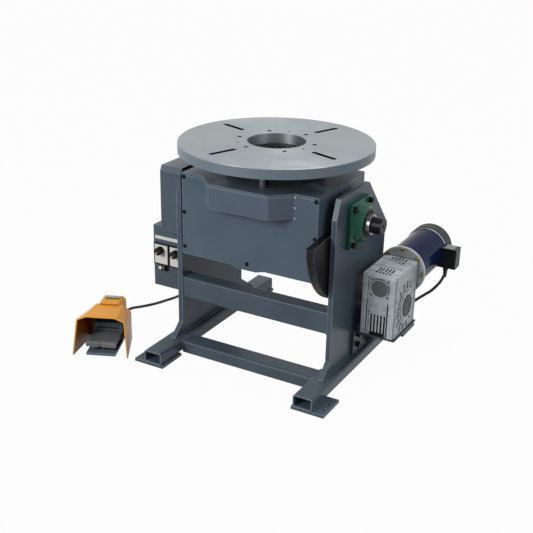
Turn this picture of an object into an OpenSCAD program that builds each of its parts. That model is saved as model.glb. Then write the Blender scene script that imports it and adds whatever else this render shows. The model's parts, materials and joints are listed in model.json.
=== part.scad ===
// Two-axis welding positioner with a tilting, turning table and a foot switch.
// Millimetres. +Z is up, +X runs along the tilt axis towards the drive side, and the table tilts
// forward, towards -Y. The origin is on the floor at the middle of the anchor holes.

/* [Base frame] */
// Overall width across the two floor runners
base_w = 600; // [560:5:700]
// Length of each floor runner
runner_len = 720; // [640:10:900]
// Width of the runner tube
runner_w = 64; // [50:1:80]
// Height of the runner tube
runner_h = 40; // [30:1:60]
// Wall of every square tube
tube_wall = 4; // [2:0.5:6]
// Outer corner radius of every square tube
tube_round = 7; // [5:0.5:10]
// Thickness of the foot plates
pad_t = 10; // [6:1:16]
// Length of each foot plate along the runner
pad_len = 106; // [80:1:130]
// How far a foot plate stands out beyond its runner
pad_out = 38; // [30:1:60]
// How far a foot plate stands in under the middle of the frame
pad_in = 6; // [0:1:12]
// Anchor hole diameter in the foot plates
anchor_d = 14; // [8:0.5:18]
// Anchor hole centre from the outer edge of its plate
anchor_edge = 15; // [12:0.5:20]
// Outer anchor hole from the end of the plate
anchor_end = 33; // [20:1:40]
// Spacing of the two anchor holes in one plate
anchor_gap = 33; // [24:1:50]

/* [Cross beams] */
// Depth of the lower cross beam
lower_beam_d = 65; // [40:1:80]
// Height of the lower cross beam
lower_beam_h = 42; // [30:1:44]
// Clearance of the lower cross beam above the floor
lower_beam_lift = 3; // [2:0.5:10]
// Front face of the lower cross beam behind the runner ends
lower_beam_set = 122; // [110:1:170]
// Depth of the upper cross beam
upper_beam_d = 54; // [40:1:60]
// Height of the upper cross beam
upper_beam_h = 73; // [50:1:80]
// Underside of the upper cross beam above the floor
upper_beam_z = 180; // [130:1:182]
// Front face of the upper cross beam behind the front edge of the uprights
upper_beam_in = 3; // [0:0.5:6]

/* [Uprights] */
// Clear span between the two uprights
span = 520; // [500:1:560]
// Plate thickness of the uprights
upright_t = 16; // [10:1:20]
// Front edge of an upright ahead of the tilt axis
upright_front = 137; // [130:1:145]
// Rear edge of an upright behind the tilt axis
upright_back = 236; // [200:1:250]
// Top of an upright above the tilt axis
upright_rise = 100; // [80:1:104]
// Height of the sloped front corner
front_cut_h = 60; // [40:1:80]
// Depth of the sloped front corner
front_cut_d = 22; // [10:1:30]
// Height of the sloped rear corner
rear_cut_h = 162; // [120:1:180]
// Depth of the sloped rear corner
rear_cut_d = 150; // [100:1:155]
// Height of the flare at the foot of the front edge
front_flare_h = 43; // [20:1:60]
// Reach of the flare at the foot of the front edge
front_flare_d = 46; // [20:1:60]
// Height of the flare at the foot of the rear edge
rear_flare_h = 60; // [20:1:80]
// Reach of the flare at the foot of the rear edge
rear_flare_d = 85; // [20:1:100]

/* [Tilt axis] */
// Height of the tilt axis above the floor
tilt_h = 505; // [500:1:560]
// Tilt axis behind the front ends of the runners
tilt_set = 298; // [280:1:330]
// Trunnion shaft diameter
shaft_d = 50; // [40:1:60]
// Shaft end beyond the outer face of an upright
shaft_out = 88; // [70:1:100]
// Side of the square bearing flange
flange_w = 143; // [130:1:150]
// Spacing of the bearing flange bolts
flange_bolts = 111; // [95:1:116]
// Thickness of the bearing flange
flange_t = 16; // [12:1:20]
// Bearing boss height above the mounting face
boss_h = 40; // [34:1:44]
// Bearing boss diameter at its face
boss_d = 98; // [92:1:104]
// Bore of the bearing seat in the housing
seat_d = 78; // [72:1:84]
// Outer diameter of the inner ring that grips the shaft
ring_d = 63; // [58:1:68]
// Inner ring face above the mounting face
ring_h = 54.6; // [50:0.1:60]
// Flange screw diameter
flange_screw_d = 12; // [8:1:14]

/* [Tilting body] */
// Width of the tilting body
body_w = 464; // [440:1:466]
// Front face of the tilting body ahead of the tilt axis
body_front = 170; // [160:1:180]
// Rear face of the tilting body behind the tilt axis
body_back = 145; // [130:1:160]
// Top of the tilting body above the tilt axis
body_rise = 111; // [108:1:114]
// Underside of the tilting body below the tilt axis
body_drop = 152; // [140:1:160]
// Side, rear and bottom sheet thickness of the body
body_wall = 6; // [4:0.5:8]
// Top plate thickness
top_t = 8; // [6:0.5:10]
// Front cover thickness
cover_t = 3; // [2:0.5:4]
// Half the width of the hood where it meets the cover
hood_w = 157; // [140:1:170]
// Half the width of the front face of the hood
hood_nose_w = 100; // [80:1:120]
// How far the hood stands out from the cover
hood_out = 57; // [40:1:58]
// Height of the hood
hood_h = 75; // [60:1:80]
// Depth of the tab at the bottom of the cover
tab_h = 8; // [4:0.5:10]
// Width of the tab along its lower edge
tab_w = 60; // [40:1:80]
// Cover screw diameter
cover_screw_d = 8; // [6:0.5:8]

/* [Table] */
// Table diameter
table_d = 600; // [560:5:610]
// Table thickness
table_t = 31; // [25:0.5:34]
// Table top above the tilt axis
table_rise = 206; // [204:1:216]
// Through bore of the table
table_bore = 180; // [170:1:186]
// Bolt circle of the tapped holes
tap_circle = 240; // [220:1:250]
// Tapped hole diameter, for M16
tap_d = 14; // [10:0.5:16]
// Number of tapped holes
tap_n = 6; // [4:1:8]
// Diameter of the small locating holes on the same circle
dowel_d = 8; // [5:0.5:10]
// Number of radial slots
slot_n = 4; // [4:1:4]
// Slot width
slot_w = 16; // [12:0.5:20]
// Inner end of a slot from the table centre
slot_r0 = 158; // [150:1:165]
// Outer end of a slot from the table centre
slot_r1 = 256; // [240:1:265]
// Turn of the table at rest, in degrees
table_turn = -20; // [-45:1:45]

/* [Slewing ring] */
// Outer diameter of the fixed ring under the table
slew_d = 306; // [290:1:320]
// Height of the fixed ring
slew_h = 30; // [24:1:34]
// Outer diameter of the hollow spindle
spindle_d = 200; // [195:1:205]
// Outer diameter of the hub flange under the table
hub_d = 296; // [286:1:310]
// Running gap between fixed ring and hub
slew_gap = 1.5; // [1:0.1:2]

/* [Table drive gears] */
// Module of the table drive gears
spin_module = 3; // [3:0.5:3]
// Teeth of the ring gear on the spindle
spin_gear_n = 74; // [74:1:76]
// Teeth of the table drive pinion
spin_pinion_n = 18; // [18:1:20]
// Face width of the ring gear
spin_gear_t = 22; // [18:1:26]
// Gap between top plate and ring gear
spin_gear_gap = 4; // [3:0.5:6]
// Clearance below the ring gear to the gear head
head_gap = 6; // [4:0.5:8]
// Width of the gear head of the table drive
head_w = 110; // [90:1:116]
// Height of the gear head of the table drive
head_h = 30; // [26:1:31]
// Diameter of the table drive motor
spin_motor_d = 90; // [70:1:96]
// Length of the table drive motor
spin_motor_len = 150; // [120:1:160]

/* [Tilt gears] */
// Module of the tilt gears
tilt_module = 2.5; // [2.5:0.5:2.5]
// Teeth that the sector gear would have as a full wheel
sector_n = 192; // [190:1:193]
// Teeth of the tilt pinion
tilt_pinion_n = 46; // [44:1:48]
// Thickness of the sector gear
sector_t = 24; // [16:1:24]
// First tooth of the sector below the horizontal, in degrees
sector_start = 3.8; // [2:0.1:5]
// Angle that the sector teeth span, in degrees
sector_span = 122; // [118:1:126]
// Diameter of the sector hub
sector_hub_d = 150; // [145:1:160]
// Backlash of every gear pair
backlash = 0.5; // [0.3:0.05:0.8]

/* [Tilt gearbox] */
// Height of the gearbox feet above the runner
shelf_h = 89; // [80:1:96]
// Height of the worm gearbox
box_h = 205; // [204:1:215]
// Width of the worm gearbox along its output shaft
box_w = 120; // [112:1:124]
// Depth of the worm gearbox along the worm
box_d = 172; // [170:1:180]
// Centre distance of worm and wheel
box_centres = 75; // [73:0.5:76]
// Output shaft diameter
out_d = 28; // [24:1:30]
// Gap between upright and gearbox
box_gap = 24; // [20:1:30]
// Diameter of the cap over the end of the worm
worm_cap_d = 54; // [48:1:56]
// Diameter of the cap over the free end of the output shaft
out_cap_d = 70; // [60:1:76]
// Number of slots between the cooling fins
fin_n = 5; // [3:1:6]
// Shelf plate thickness
shelf_t = 8; // [6:1:10]
// Leg plate thickness
leg_t = 10; // [8:1:12]

/* [Tilt motor] */
// Diameter of the motor flange
motor_flange_d = 155; // [152:1:164]
// Thickness of the motor flange
motor_flange_t = 12; // [8:1:16]
// Diameter of the motor shell
motor_d = 138; // [126:1:140]
// Length of the motor shell
motor_len = 214; // [190:1:240]
// Diameter of the fan cowl
cowl_d = 147; // [144:1:154]
// Length of the fan cowl
cowl_len = 45; // [35:1:60]
// Width of the terminal box away from the motor
term_w = 58; // [50:1:66]
// Length of the terminal box along the motor
term_len = 44; // [38:1:60]
// Height of the terminal box
term_h = 68; // [56:1:76]
// Diameter of the motor cable
motor_cable_d = 10; // [8:0.5:10]

/* [Controls] */
// Width of the bearing cover outside the left upright
cover_box_w = 61; // [60:1:66]
// Top of the bearing cover above the tilt axis
cover_box_rise = 108; // [106:1:109]
// Underside of the bearing cover below the tilt axis
cover_box_drop = 107; // [90:1:108]
// Rear face of the bearing cover behind the tilt axis
cover_box_back = 100; // [90:1:110]
// Slope at the top front edge of the bearing cover
cover_box_cut = 18; // [10:1:19]
// Sheet thickness of the bearing cover and control box
sheet_t = 3; // [2:0.5:3]
// Width of the control box
ctrl_w = 125; // [124:1:140]
// Front of the control box ahead of the tilt axis
ctrl_front = 93; // [90:1:97]
// Rear of the control box behind the tilt axis
ctrl_back = 90; // [86:1:96]
// Top of the control box below the tilt axis
ctrl_top = 113; // [112:1:116]
// Bottom of the control box below the tilt axis
ctrl_bottom = 325; // [320:1:330]
// Speed dial diameter
dial_d = 26; // [22:0.5:28]
// Speed dial height
dial_h = 20; // [16:1:24]
// Push button diameter
button_d = 13; // [10:0.5:14]

/* [Foot switch] */
// Width of the guard at the floor
guard_w = 184; // [180:1:190]
// Rear end of the guard's side walls behind the front of the base
guard_d = 138; // [134:1:142]
// Rear end of the neck behind the front of the base
guard_len = 195; // [190:1:200]
// Height of the guard's roof at its front edge
guard_h = 131; // [126:1:136]
// Height of the guard's shoulders at the front
guard_shoulder_h = 118; // [112:1:122]
// Height of the roof where the neck begins
guard_rear_h = 121; // [116:1:124]
// Wall of the guard
guard_wall = 4; // [3:0.5:5]
// Pedal width
pedal_w = 98; // [90:1:104]
// Pedal length
pedal_len = 96; // [90:1:98]
// Height of the pedal's underside
pedal_z = 33; // [31:1:36]
// Foot cable diameter
foot_cable_d = 10; // [8:0.5:10]

/* [Hidden] */
$fn = 64;

// Overrun of every cut, and the small clearances that several pieces share
over = 1;
run_fit = 0.05;
soft_gap = 0.3;
hole_slack = 1;

// Places that follow from the sizes above
tilt_y = tilt_set - runner_len / 2;
inner_x = span / 2;
outer_x = inner_x + upright_t;
runner_x = base_w / 2 - runner_w / 2;
runner_top = pad_t + runner_h;
body_x = body_w / 2;
body_top = tilt_h + body_rise;
body_bottom = tilt_h - body_drop;
cover_y = tilt_y - body_front;
table_z = tilt_h + table_rise;
table_base = table_z - table_t;
shaft_end = outer_x + shaft_out;
pad_x0 = base_w / 2 - runner_w - pad_in;
pad_x1 = base_w / 2 + pad_out;
anchor_x = pad_x1 - anchor_edge;
anchor_y = runner_len / 2 - anchor_end;
lower_beam_y = lower_beam_set - runner_len / 2;
upper_beam_y = tilt_y - upright_front + upper_beam_in;

// Tilt gear train
sector_r = tilt_module * sector_n / 2;
tilt_pinion_r = tilt_module * tilt_pinion_n / 2;
box_z0 = runner_top + shelf_h;
out_z = box_z0 + box_d / 2;
worm_z = out_z + box_centres;
tilt_centres = sector_r + tilt_pinion_r;
out_y = tilt_y + sqrt(pow(tilt_centres, 2) - pow(tilt_h - out_z, 2));
mesh_angle = atan2(out_z - tilt_h, out_y - tilt_y);
box_x0 = outer_x + box_gap;
box_x1 = box_x0 + box_w;
box_x = box_x0 + box_w / 2;
box_y0 = out_y - box_d / 2;
box_y1 = out_y + box_d / 2;

// Shapes

module tube(len, w, h, wall, r) {
  // a square tube along X with rounded corners, its centre at the origin
  rotate([90, 0, 90])
    linear_extrude(len, center = true)
      difference() {
        rounded(w, h, r);
        rounded(w - 2 * wall, h - 2 * wall, r - wall);
      }
}

module rounded(w, h, r) {
  // a rectangle with true round corners, centred
  union() {
    square([w - 2 * r, h], center = true);
    square([w, h - 2 * r], center = true);
    for (sx = [-1, 1], sy = [-1, 1])
      translate([sx * (w / 2 - r), sy * (h / 2 - r)])
        circle(r);
  }
}

module block(x, y, z) {
  // a box between two places on each axis
  translate([x[0], y[0], z[0]])
    cube([x[1] - x[0], y[1] - y[0], z[1] - z[0]]);
}

module x_rod(x0, x1, d, y, z) {
  translate([x0, y, z])
    rotate([0, 90, 0])
      cylinder(h = x1 - x0, d = d);
}

module y_rod(y0, y1, d, x, z) {
  translate([x, y0, z])
    rotate([-90, 0, 0])
      cylinder(h = y1 - y0, d = d);
}

module z_rod(z0, z1, d, x, y) {
  translate([x, y, z0])
    cylinder(h = z1 - z0, d = d);
}

module socket_screw(d, grip) {
  // a socket head cap screw whose head sits on the plane Z = 0 and whose shank goes down
  head_share = 1.5;
  key_share = 0.8;
  difference() {
    cylinder(h = d, d = d * head_share);
    translate([0, 0, d / 2])
      cylinder(h = d, d = d * key_share, $fn = 6);
  }
  translate([0, 0, -grip])
    cylinder(h = grip, d = d);
}

module button_screw(d, grip) {
  // a low button head screw, its head on the plane Z = 0
  head_share = 1.75;
  key_share = 0.6;
  difference() {
    cylinder(h = d / 2, d1 = d * head_share, d2 = d);
    translate([0, 0, d / 6])
      cylinder(h = d, d = d * key_share, $fn = 6);
  }
  translate([0, 0, -grip])
    cylinder(h = grip, d = d);
}

// Involute gears: the angle between the radius to a point and the radius to the base
function inv(a) = tan(a) * 180 / PI - a;
function half_angle(r, rp, n) =
  let (rb = rp * cos(20), a = acos(min(1, rb / r)))
  90 / n - backlash / 4 / rp * 180 / PI + inv(20) - inv(a);
flank_shares = [0, 0.2, 0.4, 0.6, 0.8, 1];

// The points of one tooth, from root to tip and back, at an angle
function tooth(angle, rp, n, m) =
  let (r0 = rp - 1.25 * m, r1 = rp + m)
  concat(
    [for (s = flank_shares)
      let (r = r0 + s * (r1 - r0), a = angle - half_angle(max(r, rp * cos(20)), rp, n))
      [r * cos(a), r * sin(a)]],
    [for (i = [len(flank_shares) - 1:-1:0])
      let (s = flank_shares[i], r = r0 + s * (r1 - r0))
      let (a = angle + half_angle(max(r, rp * cos(20)), rp, n))
      [r * cos(a), r * sin(a)]]
  );

module gear_2d(n, m, turn) {
  // a full spur gear, with the middle of one tooth at the angle turn
  polygon([for (i = [0:n - 1]) each tooth(turn + i * 360 / n, m * n / 2, n, m)]);
}

// A tube swept along a route of points: rings square to the route, joined into one closed skin
function unit(v) = v / norm(v);
function route_dir(p, i) =
  i == 0 ? unit(p[1] - p[0]) :
  i == len(p) - 1 ? unit(p[i] - p[i - 1]) : unit(unit(p[i + 1] - p[i]) + unit(p[i] - p[i - 1]));
function carry(side, dir) = unit(side - (side * dir) * dir);
function sides(p, first) = [
  for (i = 0, s = carry(first, route_dir(p, 0)); i < len(p);
    i = i + 1, s = i < len(p) ? carry(s, route_dir(p, i)) : s) s
];
function ring(c, dir, side, r, n) = [
  for (k = [0:n - 1])
    c + r * (cos(360 * k / n) * side + sin(360 * k / n) * cross(dir, side))
];
function skin(rings, n) = concat(
  [[for (k = [n - 1:-1:0]) k]],
  [for (i = [0:rings - 2], k = [0:n - 1])
    let (a = i * n + k, b = i * n + (k + 1) % n)
    each [[a, b, b + n], [a, b + n, a + n]]],
  [[for (k = [0:n - 1]) (rings - 1) * n + k]]
);

module swept(p, d, n, first) {
  s = sides(p, first);
  polyhedron(
    points = [for (i = [0:len(p) - 1]) each ring(p[i], route_dir(p, i), s[i], d / 2, n)],
    faces = skin(len(p), n)
  );
}

// The least gap that a wound tube keeps to itself, measured on its points
function least_gap(p, d, skip) =
  min([for (i = [0:len(p) - 1 - skip], j = [i + skip:len(p) - 1]) norm(p[i] - p[j])]) - d;

// A smooth curve through hand-chosen points, in two steps between each two, straight at both ends
function curve_at(a, b, c, d, t) =
  (2 * b + (c - a) * t + (2 * a - 5 * b + 4 * c - d) * t * t
    + (3 * b - a - 3 * c + d) * t * t * t) / 2;
function smooth(p) = [
  p[0],
  for (i = [1:len(p) - 3], k = [0, 1]) curve_at(p[i - 1], p[i], p[i + 1], p[i + 2], k / 2),
  p[len(p) - 2], p[len(p) - 1]
];
function route_len(p) = len(p) < 2 ? 0 : steps_sum(p, len(p) - 1);
function steps_sum(p, i) = i == 0 ? 0 : norm(p[i] - p[i - 1]) + steps_sum(p, i - 1);

// Base frame

module runner(side) {
  translate([side * runner_x, 0, pad_t + runner_h / 2])
    rotate([0, 0, 90])
      tube(runner_len, runner_w, runner_h, tube_wall, tube_round);
}

module left_runner() {
  color("slategray")
    runner(-1);
}

module right_runner() {
  // the drive side runner has the entry for the motor cable in its upper face
  color("slategray")
    difference() {
      runner(1);
      z_rod(runner_top - tube_wall - over, runner_top + over, gland_d, entry_x, entry_y);
    }
}

module foot_plates() {
  color("slategray")
    for (sx = [-1, 1], sy = [-1, 1])
      scale([sx, sy, 1])
        difference() {
          block([pad_x0, pad_x1], [runner_len / 2 - pad_len, runner_len / 2], [0, pad_t]);
          for (i = [0, 1])
            z_rod(-over, pad_t + over, anchor_d, anchor_x, anchor_y - i * anchor_gap);
        }
}

module lower_beam() {
  color("slategray")
    translate([0, lower_beam_y + lower_beam_d / 2, lower_beam_lift + lower_beam_h / 2])
      tube(base_w - 2 * runner_w, lower_beam_d, lower_beam_h, tube_wall, tube_round);
}

module upper_beam() {
  color("slategray")
    translate([0, upper_beam_y + upper_beam_d / 2, upper_beam_z + upper_beam_h / 2])
      tube(span, upper_beam_d, upper_beam_h, tube_wall, tube_round);
}

// Uprights: one outline in the plane of Y and Z, about the tilt axis

function upright_outline(grow) =
  let (
    y0 = -upright_front - grow, y1 = upright_back, z1 = upright_rise + grow,
    z0 = runner_top - tilt_h
  )
  [
    [y0 - front_flare_d, z0], [y0, z0 + front_flare_h], [y0, z1 - front_cut_h],
    [y0 + front_cut_d, z1], [y1 - rear_cut_d, z1], [y1, z1 - rear_cut_h],
    [y1, z0 + rear_flare_h], [y1 + rear_flare_d, z0]
  ];

module upright_plate(grow) {
  translate([0, tilt_y, tilt_h])
    rotate([90, 0, 90])
      linear_extrude(upright_t)
        polygon(upright_outline(grow));
}

module bearing_holes(x0, x1) {
  for (sy = [-1, 1], sz = [-1, 1])
    x_rod(x0, x1, flange_screw_d + hole_slack, tilt_y + sy * flange_bolts / 2,
      tilt_h + sz * flange_bolts / 2);
}

module left_upright() {
  color("slategray")
    difference() {
      translate([-outer_x, 0, 0])
        upright_plate(0);
      x_rod(-outer_x - over, -inner_x + over, seat_d, tilt_y, tilt_h);
      bearing_holes(-outer_x - over, -inner_x + over);
    }
}

module right_upright() {
  color("slategray")
    difference() {
      translate([inner_x, 0, 0])
        upright_plate(0);
      x_rod(inner_x - over, outer_x + over, seat_d, tilt_y, tilt_h);
      x_rod(inner_x - over, outer_x + over, out_hole_d, out_y, out_z);
      bearing_holes(inner_x - over, outer_x + over);
      for (p = leg_bolt_places)
        x_rod(inner_x - over, outer_x + over, leg_screw_d, p[0], p[1]);
    }
}

// Flanged bearings: a square cast flange with a round boss, and the ring that grips the shaft

nipple_turn = 35;
nipple_d = 8;
nipple_len = 12;
flange_round = 14;
boss_foot_d = 124;
spot_share = 2.4;

module nipple() {
  rotate([0, 0, nipple_turn])
    translate([(boss_d + boss_foot_d) / 4 - nipple_d / 2, 0, flange_t])
      cylinder(h = nipple_len + (boss_h - flange_t) / 2, d = nipple_d);
}

module bearing_shape() {
  // stands on the plane Z = 0 with its boss pointing up
  difference() {
    union() {
      linear_extrude(flange_t)
        rounded(flange_w, flange_w, flange_round);
      translate([0, 0, flange_t])
        cylinder(h = boss_h - flange_t, d1 = boss_foot_d, d2 = boss_d);
    }
    translate([0, 0, -over])
      cylinder(h = boss_h + 2 * over, d = ring_d + 2 * run_fit);
    for (sx = [-1, 1], sy = [-1, 1])
      translate([sx * flange_bolts / 2, sy * flange_bolts / 2, -over])
        cylinder(h = flange_t + 2 * over, d = flange_screw_d + hole_slack);
    for (sx = [-1, 1], sy = [-1, 1])
      translate([sx * flange_bolts / 2, sy * flange_bolts / 2, flange_t])
        cylinder(h = boss_h, d = flange_screw_d * spot_share);
    nipple();
  }
}

module on_side(side) {
  // stands a shape that points up on the outer face of an upright, on the tilt axis
  translate([side * outer_x, tilt_y, tilt_h])
    rotate([0, side * 90, 0])
      children();
}

module left_bearing() {
  color("mediumseagreen")
    on_side(-1)
      bearing_shape();
}

module right_bearing() {
  color("mediumseagreen")
    on_side(1)
      bearing_shape();
}

module frame_bolts() {
  color("dimgray") {
    for (side = [-1, 1], sx = [-1, 1], sy = [-1, 1])
      on_side(side)
        translate([sx * flange_bolts / 2, sy * flange_bolts / 2, flange_t])
          socket_screw(flange_screw_d, flange_t + upright_t);
    for (p = leg_bolt_places)
      translate([outer_x + leg_t, p[0], p[1]])
        rotate([0, 90, 0])
          socket_screw(leg_screw_d, leg_t + upright_t);
  }
}

module grease_nipples() {
  color("silver")
    for (side = [-1, 1])
      on_side(side)
        nipple();
}

// Shelf that carries the gearbox: a leg bolted to the upright, a shelf, a mounting plate and a rib

leg_screw_d = 12;
out_hole_d = 62;
mount_t = 5;
mount_edge = 4;
shelf_in = 12;
shelf_set = 22;
shelf_x1 = box_x1 - shelf_in;
shelf_y0 = box_y0 + shelf_set;
shelf_y1 = box_y1 + shelf_in / 2;
shelf_z1 = box_z0 - mount_t;
leg_y0 = box_y0 - mount_edge;
leg_bolt_in = 30;
leg_bolt_low = 31;
leg_bolt_gap = 36;
leg_bolt_places = [
  for (y = [leg_y0 + leg_bolt_in, shelf_y1 - leg_bolt_in], i = [0, 1])
    [y, runner_top + leg_bolt_low + i * leg_bolt_gap]
];
rib_t = 8;
rib_out = 70;
box_screw_in = 18;
box_screw_d = 8;

module gearbox_shelf() {
  color("dimgray")
    difference() {
      union() {
        block([outer_x, outer_x + leg_t], [leg_y0, shelf_y1], [runner_top, shelf_z1]);
        block([outer_x, shelf_x1], [shelf_y0, shelf_y1], [shelf_z1 - shelf_t, shelf_z1]);
        block([outer_x, box_x1], [leg_y0, box_y1 + mount_edge], [shelf_z1, box_z0]);
        translate([outer_x + leg_t, (shelf_y0 + shelf_y1) / 2 + rib_t / 2, shelf_z1 - shelf_t])
          rotate([90, 0, 0])
            linear_extrude(rib_t)
              polygon([[0, 0], [rib_out, 0], [0, -rib_out]]);
      }
      for (p = leg_bolt_places)
        x_rod(outer_x - over, outer_x + leg_t + over, leg_screw_d, p[0], p[1]);
      for (p = box_foot_places)
        z_rod(shelf_z1 - shelf_t - over, box_z0 + over, box_screw_d, p[0], p[1]);
    }
}

// Worm gearbox: a ribbed aluminium case, hollow inside, with worm and wheel

hub_face_d = 100;
hub_face_t = 6;
hub_hole_r = 43;
wheel_room_d = 132;
wheel_room_w = 72;
worm_room_d = 46;
foot_h = 12;
fin_slot_w = 5.5;
fin_slot_h = 76;
fin_slot_deep = 18;
top_slot_len = 46;
top_slot_deep = 6;
worm_bore_d = 25;
worm_end = 14;
cap_t = 3;
tap_hole_d = 6;
tap_hole_deep = 10;
cap_hole_r = 37;
face_hole_x = 47;
face_hole_in = 26;
face_hole_low = 36;
box_foot_places = [
  for (x = [box_x0 + box_screw_in, shelf_x1 - box_screw_in], y = [shelf_y0 + box_screw_in, box_y1 - box_screw_in])
    [x, y]
];

module slots(z, h, y0, y1) {
  // a row of slots side by side, which leave the cooling fins between them
  for (i = [0:fin_n - 1])
    translate([box_x + (i - (fin_n - 1) / 2) * 2 * fin_slot_w - fin_slot_w / 2, y0, z])
      cube([fin_slot_w, y1 - y0, h]);
}

module gearbox() {
  x0 = box_x0 + hub_face_t;
  x1 = box_x1 - hub_face_t;
  z1 = box_z0 + box_h;
  color("lightgray")
    difference() {
      union() {
        block([x0, x1], [box_y0, box_y1], [box_z0, z1]);
        x_rod(box_x0, box_x1, hub_face_d, out_y, out_z);
      }
      x_rod(box_x0 - over, box_x1 + over, out_d + 2 * run_fit, out_y, out_z);
      x_rod(box_x - wheel_room_w / 2, box_x + wheel_room_w / 2, wheel_room_d, out_y, out_z);
      y_rod(box_y0 + worm_end, box_y1 + over, worm_room_d, box_x, worm_z);
      y_rod(box_y0 + cap_t, box_y0 + worm_end + over, worm_bore_d + 2 * run_fit, box_x, worm_z);
      y_rod(box_y0 - over, box_y0 + cap_t, worm_cap_d, box_x, worm_z);
      x_rod(box_x1 - cap_t, box_x1 + over, out_cap_d, out_y, out_z);
      slots(box_z0 - over, fin_slot_h + over, box_y0 - over, box_y0 + fin_slot_deep);
      for (y = [box_y0 + worm_end, box_y1 - worm_end - top_slot_len])
        slots(z1 - top_slot_deep, top_slot_deep + over, y, y + top_slot_len);
      block([box_x - fin_n * fin_slot_w, box_x + fin_n * fin_slot_w],
        [box_y0 - over, box_y1 + over], [box_z0 - over, box_z0 + foot_h]);
      for (p = box_foot_places)
        z_rod(box_z0 - over, box_z0 + foot_h, box_screw_d, p[0], p[1]);
      // tapped holes round the worm cap, in the corners of the front face and round the hub
      for (sx = [-1, 1], sz = [-1, 1])
        y_rod(box_y0 - over, box_y0 + tap_hole_deep, tap_hole_d,
          box_x + sx * cap_hole_r * sqrt(0.5), worm_z + sz * cap_hole_r * sqrt(0.5));
      for (sx = [-1, 1], z = [box_z0 + face_hole_low, z1 - face_hole_in])
        y_rod(box_y0 - over, box_y0 + tap_hole_deep, tap_hole_d, box_x + sx * face_hole_x, z);
      for (a = [45:90:315])
        x_rod(box_x1 - tap_hole_deep, box_x1 + over, tap_hole_d,
          out_y + hub_hole_r * cos(a), out_z + hub_hole_r * sin(a));
    }
}

module flange_screws() {
  // the screw places of the motor flange that stand clear of the gearbox, pointing forward
  for (a = [0:45:180])
    translate([box_x, box_y1, worm_z])
      rotate([90, 0, 0])
        rotate([0, 0, a])
          translate([flange_screw_r, 0, 0])
            children();
}

flange_screw_r = 71;
motor_screw_d = 8;

module drive_screws() {
  color("goldenrod") {
    flange_screws()
      socket_screw(motor_screw_d, motor_flange_t);
    for (p = box_foot_places)
      translate([p[0], p[1], shelf_z1 - shelf_t])
        rotate([180, 0, 0])
          socket_screw(box_screw_d, shelf_t + mount_t + foot_h);
  }
}

module gearbox_caps() {
  // the sealing cap over the end of the worm and the one over the output shaft
  color("darkslategray") {
    y_rod(box_y0 - cap_t / 3, box_y0 + cap_t, worm_cap_d, box_x, worm_z);
    x_rod(box_x1 - cap_t, box_x1 + cap_t / 3, out_cap_d, out_y, out_z);
  }
}

// Worm, wheel and output shaft

wheel_n = 30;
wheel_w = 34;
wheel_tooth_h = 8;
wheel_hub_d = 60;
wheel_hub_w = 66;
worm_core_d = 30;
worm_d = 37;
worm_thread_len = 60;
worm_pitch = 12;
worm_starts = 3;
cam_share = 0.5;
shaft_reach = 3;
pinion_gap = 2;

module output_shaft() {
  // from behind the outer cap through the upright to the far face of the pinion
  color("silver")
    x_rod(body_x + pinion_gap, box_x1 - cap_t - shaft_reach, out_d, out_y, out_z);
}

module tilt_pinion() {
  x0 = body_x + pinion_gap;
  x1 = body_x + sector_t;
  color("dimgray")
    difference() {
      translate([x0, out_y, out_z])
        rotate([90, 0, 90])
          linear_extrude(x1 - x0)
            gear_2d(tilt_pinion_n, tilt_module, 180 + mesh_angle + 180 / tilt_pinion_n);
      x_rod(x0 - over, x1 + over, out_d, out_y, out_z);
    }
}

module worm_wheel() {
  // the wheel's tips stop just short of the worm's thread
  tip = box_centres - worm_d / 2 - soft_gap;
  root = tip - wheel_tooth_h;
  color("peru")
    difference() {
      union() {
        translate([box_x - wheel_w / 2, out_y, out_z])
          rotate([90, 0, 90])
            linear_extrude(wheel_w)
              polygon([for (i = [0:wheel_n - 1], s = wheel_tooth_shares)
                let (a = (i + s[0]) * 360 / wheel_n, r = root + s[1] * (tip - root))
                [r * cos(a), r * sin(a)]]);
        x_rod(box_x - wheel_hub_w / 2, box_x + wheel_hub_w / 2, wheel_hub_d, out_y, out_z);
      }
      x_rod(box_x - wheel_hub_w, box_x + wheel_hub_w, out_d, out_y, out_z);
    }
}

wheel_tooth_shares = [[-0.34, 0], [-0.13, 1], [0.13, 1], [0.34, 0]];

module worm_shaft() {
  // each start of the thread is a cam that winds round the core, in the reach of the wheel
  y0 = box_y0 + cap_t + soft_gap;
  cam_d = worm_core_d * cam_share;
  turns = worm_thread_len / worm_pitch / worm_starts;
  y1 = out_y - worm_thread_len / 2;
  color("silver")
    union() {
      y_rod(y0, box_y0 + worm_end + over, worm_bore_d, box_x, worm_z);
      y_rod(box_y0 + worm_end, y1 + over, worm_core_d, box_x, worm_z);
      y_rod(y1 + worm_thread_len - over, rotor_y0, worm_core_d, box_x, worm_z);
      translate([box_x, y1, worm_z])
        rotate([-90, 0, 0])
          linear_extrude(worm_thread_len, twist = 360 * turns, slices = ceil(10 * turns)) {
            circle(d = worm_core_d, $fn = 18);
            for (i = [0:worm_starts - 1])
              rotate([0, 0, i * 360 / worm_starts])
                translate([(worm_d - cam_d) / 2, 0])
                  circle(d = cam_d, $fn = 10);
          }
    }
}

// Motor: a round shell on a flange, a rotor on the worm's axis, a fan cowl and a terminal box

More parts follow.
